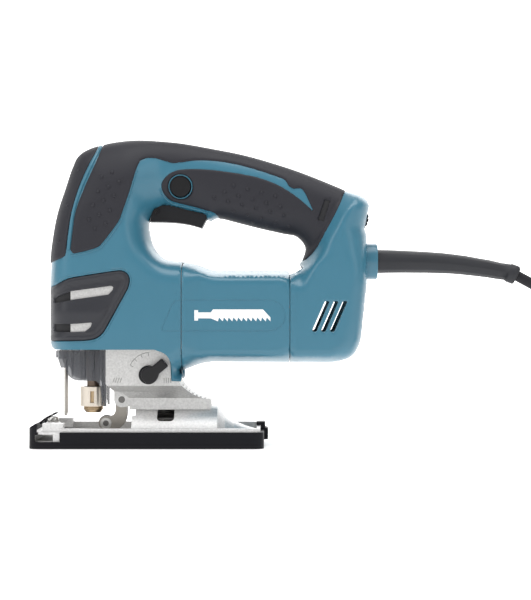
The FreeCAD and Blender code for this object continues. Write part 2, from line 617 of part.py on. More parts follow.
wire = guard_wire()
save("guard_wire", wire)
save("orbit_lever", orbit_lever())
save("roller_arm_pin", rod_y(-12.4, 12.4, *roller_pivot, 2.3))
save("roller_arm", roller_arm())
save("roller_pin", rod_y(-6.8, 6.8, roller_x, roller_z, 2))
save("roller", roller())
save("dust_cover", dust_cover())
save("led_lens", rounded(box(-91.8, -87.2, -3.4, 3.4, 62.5, 67), 1, upright))
save("handle_screws", *[fuse(rod_y(12, 14.6, x, z, 3.4), rod_y(-7.8, 12.2, x, z, 1.5)) for x, z in screw_places])


# ---- base ----------------------------------------------------------------------------------------------------------
def rounded_plate(x0, x1, half, z0, z1, radius):
    return rounded(box(x0, x1, -half, half, z0, z1), radius, upright)


blade_gap = box(-100, -47.5, -18, 18, -5, 30)
fence_slot = box(-113.2, -101.2, -45, 45, 4.9, 9.5)


def base_casting():
    """Aluminium casting: plate with raised edges, and the hollow hump that the tool tilts on."""
    plate = rounded_plate(-115, 37.2, 36, 2.4, 5, 5)
    edges = rounded_plate(-115, 37.2, 36, 2.4, casting_top, 5).cut(rounded_plate(-112.6, 34.8, 33.6, 0, 20, 4))
    edges = edges.cut(box(-120, -97, -50, 50, 11, 20))
    ribs = [box(-100, -50, min(s * 20, s * 22), max(s * 20, s * 22), 4, 8) for s in (-1, 1)]
    ribs += [box(-101.2, -99, -35, 35, 4, 8.8), box(-50, -47.6, -35, 35, 4, 8)]
    front = box(-114, -100, -34, 34, 4, 10.8)
    ribs += [box(-108.5, -94.5, min(s * 24, s * 34), max(s * 24, s * 34), 10, 16.5) for s in (-1, 1)]
    rear_ribs = [box(x, x + 2, -34, 34, 4, 8.5) for x in (12, 24)]
    above = box(-130, 60, -50, 50, 2.4, 60)
    hump = rod_x(-49.8, 8, 0, hump_radius).common(above)
    tails = [Part.makeCone(r0, r1, x1 - x0, Vec(x0, 0, 0), Vec(1, 0, 0)).common(above)
             for x0, r0, x1, r1 in ((8, hump_radius, 13, 21), (13, 21, 19, 16.5), (19, 16.5, 27, 13), (27, 13, 36, 10.5))]
    hollow = fuse(rod_x(-47.4, 8, 0, hump_radius - hump_wall),
                  Part.makeCone(hump_radius - hump_wall, 17.5, 5, Vec(8, 0, 0), Vec(1, 0, 0)),
                  Part.makeCone(17.5, 10, 11, Vec(13, 0, 0), Vec(1, 0, 0)))
    whole = plate
    for piece in (edges, front, *ribs, *rear_ribs, hump, *tails):
        whole = whole.fuse(piece)
    whole = whole.cut(hollow).cut(blade_gap).cut(fence_slot)
    half = bolt_radius + gap
    whole = whole.cut(common(rod_x(bolt_x - slide_travel - half, bolt_x + half, 0, 32, 18),
                             section(polygon((0, 0), (40, 40), (-40, 40)), -34, -20)))
    for s in (-1, 1):
        way = Vec(0, s * math.sin(math.pi / 4), math.cos(math.pi / 4))
        ends = [rod(Vec(x, 0, 0) + way * 17, Vec(x, 0, 0) + way * 32, half) for x in (bolt_x, bolt_x - slide_travel)]
        middle = box(bolt_x - slide_travel, bolt_x, -half, half, 17, 32)
        middle.rotate(Vec(0, 0, 0), Vec(1, 0, 0), -45 * s)
        whole = whole.cut(fuse(middle, *ends))
    whole = whole.cut(rod_x(-52, -47, 0, 18))
    return whole


def sole_cover():
    """Slip-on plastic sole: floor and low rim, open round the blade and for the clamp bolt's key."""
    tray = rounded_plate(base_front, base_rear, base_half, 0, rim_top, 7)
    tray = tray.cut(rounded_plate(-115.2, 37.4, 36.2, sole_thick, 20, 5))
    tray = tray.cut(blade_gap).cut(fence_slot).cut(rounded_plate(-38, -15, 7, -5, 5, 6.9))
    tray = tray.cut(box(-111.8, -96.5, -50, -36.1, 4.6, 20))
    lip = rounded_plate(base_front, base_rear, base_half, 5, 17, 7).common(box(-118, -111.8, -50, 50, 5, 17))
    lip = lip.cut(rounded_plate(-115.2, 37.4, 36.2, 0, 20, 5)).cut(fence_slot)
    lip = lip.cut(slab(polygon((-118, 13.5), (-118, 18), (-111, 18), (-112.5, 17)), -50, 50))
    hook = fuse(box(37.6, 42.5, -7, 7, 4, 12), box(37.6, 40.5, -7, 7, 4, 16), box(34.5, 40.5, -7, 7, 13.7, 16))
    return fuse(tray, lip, rounded(hook, 0.8, lambda e: e.Length > 13))


def clamp_plate():
    arc = rod_x(-40, -8, 0, hump_radius - hump_wall - gap, 20.5)
    arc = common(arc, section(polygon((0, 0), (20, 40), (-20, 40)), -45, 0))
    arc = arc.cut(box(-45, 0, -6.8, 6.8, 10, 21))
    for s in (-1, 1):
        rib = box(-40, -8, min(s * 7.4, s * 9.4), max(s * 7.4, s * 9.4), 17.5, 23)
        arc = arc.fuse(common(rib, rod_x(-41, -7, 0, 22.5)))
    half = bolt_radius + gap
    slot = fuse(box(bolt_x - slide_travel, bolt_x, -half, half, 10, 30), rod_z(10, 30, bolt_x, half),
                rod_z(10, 30, bolt_x - slide_travel, half))
    return arc.cut(slot)


save("base_casting", base_casting())
save("sole_cover", sole_cover())
save("clamp_plate", clamp_plate())
save("clamp_bolt", fuse(rod_z(16, 20.9, bolt_x, 5.5), rod_z(20.5, 38, bolt_x, bolt_radius))
     .cut(plan(polygon(*[(bolt_x + 3 * math.cos(i * math.pi / 3), 3 * math.sin(i * math.pi / 3))
                         for i in range(6)]), 15, 19)))


# ---- cord ----------------------------------------------------------------------------------------------------------
cord_radius = 3.65
turns_across, turns_high = 3, 3
turn_pitch = 7.35
coil_mean = 38.0
coil_low = 0.7


def cord_guard():
    """Rubber sleeve that tapers and bends from the boss to a bead at its end."""
    stations = [(118, 125.8, 7.7), (132, 125.7, 7.4), (144.2, 125.4, 7.1), (160.8, 124.8, 6.7), (177.3, 123.4, 6.2),
                (193.8, 121.3, 5.7), (202, 119.3, 5.4), (208, 117.6, 5.2)]
    wires = []
    for i, (x, z, radius) in enumerate(stations):
        before, after = stations[max(i - 1, 0)], stations[min(i + 1, len(stations) - 1)]
        way = Vec(after[0] - before[0], 0, after[1] - before[1])
        wires.append(Part.Wire(Part.makeCircle(radius, Vec(x, 0, z), way)))
    sleeve = Part.makeLoft(wires, True, False)
    way = Vec(*cord_way).multiply(1)
    end = Vec(*cord_exit)
    bead = rod(end - way * 5.5, end, 6.6)
    return fuse(rod_x(103, 118.2, 125.8, 8.4), sleeve, bead)


def tube(points, radius):
    """Round tube along straight runs joined by arcs; prints the radius of each arc."""
    path = [Vec(*p) for p in points]
    edges = []
    start = path[0]
    for i in range(1, len(path) - 1):
        back, ahead = path[i - 1] - path[i], path[i + 1] - path[i]
        half = (math.pi - back.getAngle(ahead)) / 2
        cut = 0.45 * min(back.Length, ahead.Length)
        back.normalize()
        ahead.normalize()
        middle = (back + ahead).normalize()
        bend = cut / math.tan(half)
        print(f"cord bend {i}: radius {bend:.1f} mm, {bend / radius / 2:.1f} diameters")
        arc_start, arc_end = path[i] + back * cut, path[i] + ahead * cut
        arc_middle = path[i] + middle * (bend / math.cos(half) - bend)
        edges.append(Part.LineSegment(start, arc_start).toShape())
        edges.append(Part.Arc(arc_start, arc_middle, arc_end).toShape())
        start = arc_end
    edges.append(Part.LineSegment(start, path[-1]).toShape())
    circle = Part.Wire(Part.makeCircle(radius, path[0], path[1] - path[0]))
    return Part.Wire(edges).makePipeShell([circle], True, False)


slope = math.radians(24)
cord_way = (math.cos(slope), 0, -math.sin(slope))
cord_exit = (213.6, 0, 116.0)
cord_low = coil_low + cord_radius
fall = math.radians(77)       # slope of the lead where it drops to the bench
bend_x, bend_z = cord_exit[0] + 44 * cord_way[0], cord_exit[2] + 44 * cord_way[2]
floor_x = bend_x + (bend_z - cord_low) / math.tan(fall)
coil_x = floor_x + 52
outer_turn = coil_mean + turn_pitch
coil_y = 22.0


def cord_coil():
    half = turn_pitch + cord_radius
    ring = rod(Vec(coil_x, coil_y, coil_low), Vec(coil_x, coil_y, coil_low + 2 * half), coil_mean + half,
               coil_mean - half)
    return ring.makeFillet(3.4, ring.Edges[:0] + [e for e in ring.Edges if e.BoundBox.ZLength < 1e-6])


def cord_tie():
    half = turn_pitch + cord_radius
    x, z0, z1 = coil_x + coil_mean, coil_low, coil_low + 2 * half
    return box(x - half - 0.9, x + half + 0.6, coil_y - 4, coil_y + 4, z0 - 0.6, z1 + 0.6).cut(
        box(x - half - 0.4, x + half + 0.05, coil_y - 5, coil_y + 5, z0 - 0.05, z1 + 0.05))


plug_y = coil_y + 33.65
plug_low = coil_low + 2 * (turn_pitch + cord_radius) + 0.05


def plug_body():
    """Round two-pin plug lying on the coil: a wide head that narrows to the cord."""
    side = profile([(0, 17.5), (12, 17.5), (24, 13.5), (36, 6)], [(36, 6), (36, -6)],
                   [(36, -6), (24, -13.5), (12, -17.5), (0, -17.5)], [(0, -17.5), (0, 17.5)])
    body = plan(side, plug_low, plug_low + 14)
    body = rounded(body, 4, lambda e: e.BoundBox.ZLength < 1e-6 and e.BoundBox.XLength > 1)
    body.translate(Vec(coil_x - 21, plug_y, 0))
    return body


save("cord_guard", cord_guard())
coil = cord_coil()
side_y = coil_y - outer_turn
route = tube([cord_exit, (bend_x, 0, bend_z), (floor_x, side_y, cord_low), (coil_x, side_y, cord_low)],
             cord_radius)
save("cord", *keep_large(Part.Solid(route).cut(coil), 100))
save("cord_coil", coil)
save("cord_tie", cord_tie())
save("plug_body", plug_body())
save("plug_pins", *[rod_x(coil_x - 40, coil_x - 21, plug_low + 7, 2, y=plug_y + s * 9) for s in (-1, 1)])
save("cord_clamp", box(97, 103, -8, 8, 119.4, 132.2).cut(rod_x(90, 110, 125.8, cord_radius)))
print(f"coil centre {coil_x:.1f}, {coil_y:.1f}; exit {cord_exit}; way {cord_way}; bend {bend_x:.1f}, {bend_z:.1f}; "
      f"floor {floor_x:.1f}")
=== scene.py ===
import bpy
import math
import bmesh
import numpy as np
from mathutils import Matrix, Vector
from mathutils.geometry import delaunay_2d_cdt


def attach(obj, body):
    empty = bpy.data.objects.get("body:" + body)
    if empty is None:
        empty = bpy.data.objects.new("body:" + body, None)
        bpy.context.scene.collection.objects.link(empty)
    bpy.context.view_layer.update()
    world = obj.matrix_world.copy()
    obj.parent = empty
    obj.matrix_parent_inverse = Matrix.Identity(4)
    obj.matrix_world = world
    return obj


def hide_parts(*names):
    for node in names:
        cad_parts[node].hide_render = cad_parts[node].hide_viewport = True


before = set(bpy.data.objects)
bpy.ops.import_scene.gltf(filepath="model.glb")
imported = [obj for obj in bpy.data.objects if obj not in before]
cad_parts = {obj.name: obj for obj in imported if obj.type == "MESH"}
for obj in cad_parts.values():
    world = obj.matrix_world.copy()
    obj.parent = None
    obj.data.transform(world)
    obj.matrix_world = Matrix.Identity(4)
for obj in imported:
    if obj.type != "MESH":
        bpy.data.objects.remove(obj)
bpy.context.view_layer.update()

# ---- Camera, light and floor ---------------------------------------------------------------------
# A long lens square to the tool's left side, a large soft light overhead and two softer ones at the sides,
# and a pale sweep that the tool stands on.
scene = bpy.context.scene
lens = bpy.data.cameras.new("side_camera")
lens.lens = 104.65
lens.sensor_width = 36
camera = bpy.data.objects.new("side_camera", lens)
camera.location = (0.0407, -1.2, 0.0993)
camera.rotation_euler = (math.radians(90), 0, 0)
scene.collection.objects.link(camera)
scene.camera = camera


def softbox(name, place, aim, size, power):
    """Square-edged soft light at a place in metres, turned to its aim."""
    lamp = bpy.data.lights.new(name, "AREA")
    lamp.shape = "RECTANGLE"
    lamp.size, lamp.size_y = size
    lamp.energy = power
    stand = bpy.data.objects.new(name, lamp)
    stand.location = place
    stand.rotation_euler = (Vector(aim) - Vector(place)).to_track_quat("-Z", "Y").to_euler()
    scene.collection.objects.link(stand)


softbox("top_light", (0.1, -0.2, 1.3), (0, 0, 0.1), (1.5, 0.8), 13)
softbox("left_light", (-1.2, -0.9, 0.8), (0, 0, 0.1), (0.8, 1.1), 6)
softbox("right_light", (1.2, -1.0, 0.7), (0, 0, 0.1), (0.8, 1.1), 3)
softbox("back_light", (0.2, 1.3, 0.9), (0, 0, 0.1), (1.5, 0.8), 7)
world = bpy.data.worlds.new("studio")
world.use_nodes = True
world.node_tree.nodes["Background"].inputs["Color"].default_value = (1, 1, 1, 1)
world.node_tree.nodes["Background"].inputs["Strength"].default_value = 0.5
scene.world = world
scene.view_settings.view_transform = "Standard"

for name, corners, glow in (
        ("floor", [(-6, -5, -0.0004), (6, -5, -0.0004), (6, 5, -0.0004), (-6, 5, -0.0004)], 0.5),
        ("backdrop", [(-6, 5, -0.01), (6, 5, -0.01), (6, 5, 4), (-6, 5, 4)], 0.98)):
    sheet = bpy.data.meshes.new(name)
    sheet.from_pydata(corners, [], [(0, 1, 2, 3)])
    paper = bpy.data.materials.new(f"{name}_paper")
    paper.use_nodes = True
    paper_skin = paper.node_tree.nodes["Principled BSDF"]
    paper_skin.inputs["Base Color"].default_value = (0.9, 0.9, 0.9, 1)
    paper_skin.inputs["Roughness"].default_value = 0.9
    paper_skin.inputs["Emission Color"].default_value = (1, 1, 1, 1)
    paper_skin.inputs["Emission Strength"].default_value = glow
    sheet.materials.append(paper)
    floor = bpy.data.objects.new(name, sheet)
    scene.collection.objects.link(floor)


# ---- Mains cord ----------------------------------------------------------------------------------
# Black rubber-sheathed lead, 7.3 mm thick. It leaves the bend sleeve, falls to the bench and lies in a tied coil of
# three layers, with its moulded plug on top.
def finish(name, colour, rough, metal=0.0, grain=900.0, depth=0.00002, mottle=0.10, rough_play=0.10, coat=0.0,
           cells=False, patch=45, shine=0.5):
    """Surface with uneven colour and gloss in patches, and a grain: patch and grain per metre, depth in metres."""
    m = bpy.data.materials.new(name)
    m.use_nodes = True
    nodes, links = m.node_tree.nodes, m.node_tree.links
    skin = nodes["Principled BSDF"]
    skin.inputs["Metallic"].default_value = metal
    skin.inputs["Coat Weight"].default_value = coat
    skin.inputs["Specular IOR Level"].default_value = shine
    place = nodes.new("ShaderNodeTexCoord")
    patches = nodes.new("ShaderNodeTexNoise")
    patches.inputs["Scale"].default_value = patch
    patches.inputs["Detail"].default_value = 6
    links.new(place.outputs["Object"], patches.inputs["Vector"])
    tint = nodes.new("ShaderNodeMix")
    tint.data_type = "RGBA"
    tint.inputs["A"].default_value = (*[c * (1 - mottle) for c in colour], 1)
    tint.inputs["B"].default_value = (*[min(1, c * (1 + mottle)) for c in colour], 1)
    links.new(patches.outputs["Fac"], tint.inputs["Factor"])
    links.new(tint.outputs["Result"], skin.inputs["Base Color"])
    fine = nodes.new("ShaderNodeTexVoronoi" if cells else "ShaderNodeTexNoise")
    fine.inputs["Scale"].default_value = grain
    links.new(place.outputs["Object"], fine.inputs["Vector"])
    gloss = nodes.new("ShaderNodeMapRange")
    gloss.inputs["To Min"].default_value = max(0.03, rough - rough_play)
    gloss.inputs["To Max"].default_value = min(1, rough + rough_play)
    links.new(patches.outputs["Fac"], gloss.inputs["Value"])
    links.new(gloss.outputs["Result"], skin.inputs["Roughness"])
    bumps = nodes.new("ShaderNodeBump")
    bumps.inputs["Distance"].default_value = depth
    bumps.inputs["Strength"].default_value = 0.9
    links.new(fine.outputs["Distance" if cells else "Fac"], bumps.inputs["Height"])
    links.new(bumps.outputs["Normal"], skin.inputs["Normal"])
    return m


cord_sheath = finish("cord_sheath", (0.014, 0.014, 0.017), 0.55, grain=1500, depth=0.00003, shine=0.22)
cord_radius = 3.65
cord_exit = (213.6, 0, 116.0)
coil_x, coil_y, coil_low = 327.4, 22.0, 4.35
cord_route = [cord_exit, (253.8, 0, 98.1), (275.4, -23.35, coil_low)]
inner, middle, outer = 30.65, 38.0, 45.35
low, mid, high = coil_low, coil_low + 7.35, coil_low + 14.7
lay = [(0, outer, low), (330, outer, low), (360, middle, low), (690, middle, low), (720, inner, low),
       (1020, inner, low), (1050, inner, mid), (1350, inner, mid), (1380, middle, mid), (1710, middle, mid),
       (1740, outer, mid), (2040, outer, mid), (2070, outer, high), (2370, outer, high), (2400, middle, high),
       (2730, middle, high), (2760, inner, high), (2925, inner, high), (2960, inner, high + 3.2),
       (2990, 31.2, high + 7.4), (3012, 33.6, high + 10.2)]
for turn in range(0, 3012, 15):
    i = max(k for k in range(len(lay) - 1) if lay[k][0] <= turn)
    share = (turn - lay[i][0]) / (lay[i + 1][0] - lay[i][0])
    reach = lay[i][1] + share * (lay[i + 1][1] - lay[i][1])
    height = lay[i][2] + share * (lay[i + 1][2] - lay[i][2])
    angle = math.radians(turn - 90)
    cord_route.append((coil_x + reach * math.cos(angle), coil_y + reach * math.sin(angle), height))
cord_route += [(352.5, 52.9, 29.6), (347, 55.65, 29.75), (341.5, 55.65, 29.75)]
cord_line = bpy.data.curves.new("cord", "CURVE")
cord_line.dimensions = "3D"
cord_line.bevel_depth = cord_radius / 1000
cord_line.bevel_resolution = 5
cord_line.resolution_u = 6
cord_line.use_fill_caps = True
spline = cord_line.splines.new("NURBS")
spline.points.add(len(cord_route) - 1)
for point, (x, y, z) in zip(spline.points, cord_route):
    point.co = (x / 1000, y / 1000, z / 1000, 1)
spline.order_u = 3
spline.use_endpoint_u = True
cord_line.materials.append(cord_sheath)
cord = bpy.data.objects.new("mains_cord", cord_line)
scene.collection.objects.link(cord)
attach(cord, "housing")
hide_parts("cord", "cord_coil")


# ---- Bend sleeve ---------------------------------------------------------------------------------
# Soft black sleeve that keeps the lead from kinking at the tool: round at the root, ribbed along its length,
# ending in a bead. It is clamped inside the rear cover.
def place_mesh(name, points, faces, material, body, smooth=True):
    """Mesh from points in mm, put on a body and given its finish."""
    mesh = bpy.data.meshes.new(name)
    mesh.from_pydata([(p[0] / 1000, p[1] / 1000, p[2] / 1000) for p in points], [], faces)
    work = bmesh.new()
    work.from_mesh(mesh)
    bmesh.ops.remove_doubles(work, verts=work.verts, dist=2e-6)
    bmesh.ops.recalc_face_normals(work, faces=work.faces)
    work.to_mesh(mesh)
    work.free()
    mesh.polygons.foreach_set("use_smooth", [smooth] * len(mesh.polygons))
    mesh.materials.append(material)
    piece = bpy.data.objects.new(name, mesh)
    scene.collection.objects.link(piece)
    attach(piece, body)
    return piece


def walls(rings, around, start=0):
    """Four-sided faces that join each ring of points to the next."""
    return [(start + i * around + k, start + i * around + (k + 1) % around,
             start + (i + 1) * around + (k + 1) % around, start + (i + 1) * around + k)
            for i in range(rings - 1) for k in range(around)]


def ends(rings, around):
    """Faces that close the first and the last ring."""
    return [tuple(range(around))[::-1], tuple((rings - 1) * around + k for k in range(around))]


def swept(name, line, radius_at, around, material, body):
    """Tube along (x, y, z) points with its own radius at each point and angle round it; ends closed."""
    points = []
    for i, here in enumerate(line):
        before, after = Vector(line[max(i - 1, 0)]), Vector(line[min(i + 1, len(line) - 1)])
        way = (after - before).normalized()
        side = way.cross(Vector((0, 0, 1))).normalized() if abs(way.z) < 0.9 else Vector((1, 0, 0))
        up = side.cross(way)
        for k in range(around):
            a = 2 * math.pi * k / around
            r = radius_at(i, a)
            points.append(Vector(here) + side * r * math.cos(a) + up * r * math.sin(a))
    faces = walls(len(line), around) + ends(len(line), around)
    return place_mesh(name, points, faces, material, body)


sleeve_rubber = finish("sleeve_rubber", (0.022, 0.023, 0.027), 0.5, grain=1300, depth=0.00003, shine=0.3)
sleeve_line = [(108, 125.8, 8.3), (117.2, 125.8, 8.3), (117.6, 125.8, 7.7), (126, 125.8, 7.5), (135, 125.65, 7.3),
               (144.2, 125.4, 7.1), (152, 125.15, 6.9), (160.8, 124.7, 6.7), (169, 124.1, 6.4), (177.3, 123.2, 6.2),
               (185.5, 122, 5.9), (193.8, 120.8, 5.7), (202, 119.2, 5.4), (206.8, 118.6, 5.3), (207.2, 118.4, 6.0),
               (208, 118.1, 6.5), (212.2, 116.6, 6.6), (213.2, 116.2, 6.2), (213.6, 116, 5.2)]
rib_height, rib_count = 0.35, 8


def sleeve_radius(i, a):
    """Radius at a point of the sleeve; the ribs run between the root collar and the end bead."""
    ribbed = 1 < i < 14
    return sleeve_line[i][2] + (rib_height * max(0, math.cos(rib_count * a)) ** 2 if ribbed else 0)


sleeve = swept("bend_sleeve", [(x, 0, z) for x, z, r in sleeve_line], sleeve_radius, 48, sleeve_rubber, "housing")
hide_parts("cord_guard")


# ---- Plug and tie --------------------------------------------------------------------------------
# Moulded two-pin plug with a waist to grip, and a black hook-and-loop strap that holds the coil.
plug_rubber = finish("plug_rubber", (0.02, 0.02, 0.022), 0.5, grain=1100, depth=0.00003)
plug_rings = [(-21, 17.0, 6.4), (-20.4, 17.5, 6.95), (-9, 17.5, 7), (-4, 15.8, 6.6), (1, 13.4, 6.2), (7, 9.6, 6.0),
              (11, 7.2, 5.9), (14.4, 6.2, 5.6), (15, 5.6, 5.0)]
plug_y, plug_z = 55.65, 29.75
plug_around, boxy = 40, 3.4
plug_points = []
for dx, wide, tall in plug_rings:
    for k in range(plug_around):
        a = 2 * math.pi * k / plug_around
        reach = 1 / (abs(math.cos(a)) ** boxy + abs(math.sin(a)) ** boxy) ** (1 / boxy)
        plug_points.append((coil_x + dx, plug_y + wide * reach * math.cos(a), plug_z + tall * reach * math.sin(a)))
plug = place_mesh("plug_moulding", plug_points, walls(len(plug_rings), plug_around)
                  + ends(len(plug_rings), plug_around), plug_rubber, "housing")
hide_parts("plug_body")


def break_edges(thing, edge, segments=2, sharper_than=40):
    """Rounds the edges that turn by more than sharper_than degrees, by edge mm."""
    soften = thing.modifiers.new("broken_edges", "BEVEL")
    soften.width = edge / 1000
    soften.segments = segments
    soften.limit_method = "ANGLE"
    soften.angle_limit = math.radians(sharper_than)


def dress(node, material, edge=0.0):
    """Gives a carried-over node its finish, and breaks its sharp edges by edge mm."""
    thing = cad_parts[node]
    for holder in thing.material_slots:
        holder.link = "OBJECT"
        holder.material = material
    if edge:
        break_edges(thing, edge)


pin_nickel = finish("pin_nickel", (0.72, 0.7, 0.66), 0.22, metal=1.0, grain=500, depth=0.000004, mottle=0.05,
                    rough_play=0.07)
dress("plug_pins", pin_nickel, 0.4)
strap_weave = finish("strap_weave", (0.015, 0.015, 0.017), 0.85, grain=1800, depth=0.00012)
dress("cord_tie", strap_weave, 0.15)


# ---- Body shells ---------------------------------------------------------------------------------
# Two glass-filled nylon mouldings, teal, that meet on the tool's middle plane. Each runs from the front cover over
# the grip to the rear cover. Their skin is given by the side outline and by how far it stands out from the middle.
def line_of(*runs, step=1.5):
    """Side outline in mm as close points: a run of two points is straight, a longer one is a curve through them."""
    out = []
    for run in runs:
        p = [np.array(q, float) for q in run]
        if len(p) == 2:
            count = max(1, int(np.linalg.norm(p[1] - p[0]) / (2 * step)))
            out += [tuple(p[0] + (p[1] - p[0]) * t / count) for t in range(count)]
            continue
        padded = [2 * p[0] - p[1]] + p + [2 * p[-1] - p[-2]]
        for i in range(1, len(padded) - 2):
            a, b, c, d = padded[i - 1:i + 3]
            count = max(1, int(np.linalg.norm(c - b) / step))
            for k in range(count):
                t = k / count
                out.append(tuple(0.5 * (2 * b + (c - a) * t + (2 * a - 5 * b + 4 * c - d) * t * t
                                        + (3 * b - a - 3 * c + d) * t ** 3)))
    return out


def straight(points):
    """The points as a chain of straight runs, for line_of."""
    return [[points[i], points[i + 1]] for i in range(len(points) - 1)]


nose_and_top = line_of([(-104.9, 66), (-106.1, 69.5), (-106.5, 80), (-106.6, 99), (-105.8, 125.5), (-103.8, 143.3),
                        (-100.7, 159.5), (-95.9, 175), (-91, 190), (-86.9, 197.7), (-79.4, 202.5), (-67.7, 205.9),
                        (-52.5, 208), (-38.8, 208.2), (-18.1, 206.6), (3.9, 202.8), (25.9, 198.4), (47.9, 192.2),
                        (69.9, 184.6), (96.1, 173.9)])
rear_and_under = line_of([(96.1, 173.9), (103, 172.2), (109.2, 168.8), (111.9, 164)],
                         [(111.9, 164), (108.8, 147.5)],
                         [(108.8, 147.5), (109.9, 144), (110.2, 138)], [(110.2, 138), (110, 110)],
                         [(110, 110), (107.2, 82)], [(107.2, 82), (105, 70), (99.5, 61), (88, 56.9), (72, 56.7)],
                         [(72, 56.7), (57.1, 56.7)], [(57.1, 56.7), (4, 57)],
                         [(4, 57), (-4, 55.6), (-15.7, 51.1)])
skirt = line_of([(-15.7, 51.1), (-15.7, 45.8)], [(-15.7, 45.8), (-21.6, 45.8)],
                [(-21.6, 45.8), (-22.2, 55.4), (-26, 62.6), (-33.6, 66)], [(-33.6, 66), (-104.9, 66)])
hand_hole = line_of([(57.1, 119.4), (62.4, 122.7), (66.5, 127.5), (68.2, 135.8), (62.4, 143), (53.4, 145.1),
                     (36.9, 148.8), (20.4, 153), (10.8, 155.4), (6.2, 155.0), (3.2, 153.3), (0.6, 154.2),
                     (-1.5, 157.4)], [(-1.5, 157.4), (-28.4, 163.8)],
                    [(-28.4, 163.8), (-35.3, 159.8), (-38.8, 153), (-38.8, 146), (-36, 135.8), (-28.4, 127.6),
                     (-15.7, 125.6), (-4.4, 123), (3.9, 119.9), (12, 119.4)], [(12, 119.4), (57.1, 119.4)])
side_outline = nose_and_top + rear_and_under + skirt
rolled = [(np.array(line[:-1]), np.array(line[1:])) for line in
          (nose_and_top + [rear_and_under[0]], rear_and_under + [(-15.7, 51.1)], hand_hole + [hand_hole[0]])]
rolled_a = np.vstack([a for a, b in rolled])
rolled_b = np.vstack([b for a, b in rolled])


def distance(points, a, b):
    """Distance of each point from the nearest of the segments a-b."""
    points = np.asarray(points, float)
    along = b - a
    length = (along ** 2).sum(1) + 1e-12
    best = np.full(len(points), 1e9)
    for i in range(0, len(points), 4000):
        p = points[i:i + 4000, None, :] - a[None]
        t = np.clip((p * along[None]).sum(2) / length, 0, 1)
        best[i:i + 4000] = np.sqrt(((p - t[..., None] * along[None]) ** 2).sum(2)).min(1)
    return best


def inside(points, loop):
    """True for each point inside the closed loop."""
    points, loop = np.asarray(points, float), np.asarray(loop, float)
    x, z = points[:, 0], points[:, 1]
    result = np.zeros(len(points), bool)
    for (x0, z0), (x1, z1) in zip(loop, np.roll(loop, -1, 0)):
        if z0 == z1:
            continue
        crosses = ((z0 > z) != (z1 > z)) & (x < (x1 - x0) * (z - z0) / (z1 - z0) + x0)
        result ^= crosses
    return result


def ease(low_edge, high_edge, value):
    """0 below low_edge, 1 above high_edge, and a smooth change between."""
    t = np.clip((value - low_edge) / (high_edge - low_edge), 0, 1)
    return t * t * (3 - 2 * t)


def stand_out(points):
    """How far the skin stands out from the middle plane: full width less the roll-over towards each edge."""
    points = np.asarray(points, float)
    x, z = points[:, 0], points[:, 1]
    from_edge = distance(points, rolled_a, rolled_b)
    # grip, behind and barrel are 1 in the handle, the rear cover and the motor's barrel, and 0 elsewhere
    grip = ease(-56, -26, x) * ease(124, 146, z)
    front = 33.0 - 2.0 * ease(130, 200, z) * ease(-40, -100, x)
    to_rear = (x - 66.6) * 0.862 - (z - 125.3) * 0.507
    rear = 19 + 11 * np.maximum(np.clip(to_rear / 8.5, 0, 1), 1 - ease(106, 121, z))
    behind = ease(50, 62, x)
    barrel = (1 - ease(119, 127, z)) * ease(-16, -2, x) * (1 - behind)
    half = front + (19.0 - front) * grip
    half = half + (rear - half) * behind
    half = half + (30.6 - half) * barrel
    # roll is how far in from its edges the skin curves, and square how boxy that curve is
    roll = 17 + 22 * ease(140, 196, z)
    roll = roll + (21 - roll) * grip
    roll = roll + (15 - roll) * ease(-60, -44, x) * (1 - ease(158, 172, z)) * (1 - behind)
    roll = roll + (19 - roll) * behind * ease(120, 135, z)
    at_back = ease(84, 99, x)
    roll = roll + (6.6 + 8.4 * at_back - roll) * behind * (1 - ease(116, 135, z))
    roll = roll + (6.6 - roll) * barrel
    square = 2.25 + (0.8 * at_back - 0.75 * (1 - at_back)) * behind * (1 - ease(116, 145, z)) - 0.75 * barrel
    near = 1 - np.clip(from_edge / roll, 0, 1)
    return half * (1 - near ** square) ** (1 / square)


def across_of(ring):
    """Unit direction square to a closed ring at each of its points."""
    along = np.roll(ring, -1, 0) - np.roll(ring, 1, 0)
    square_to = np.stack([-along[:, 1], along[:, 0]], 1)
    return square_to / (np.linalg.norm(square_to, axis=1)[:, None] + 1e-9)


def rows_beside(loop, insets):
    """Points in rows on both sides of a closed loop, at each inset from it."""
    ring = np.array(loop)
    rows = []
    for inset in insets:
        for sign in (-1, 1):
            moved = ring + sign * inset * across_of(ring)
            gap = distance(moved, ring, np.roll(ring, -1, 0))
            rows += [tuple(q) for q, g in zip(moved, gap) if g > 0.9 * inset]
    return rows


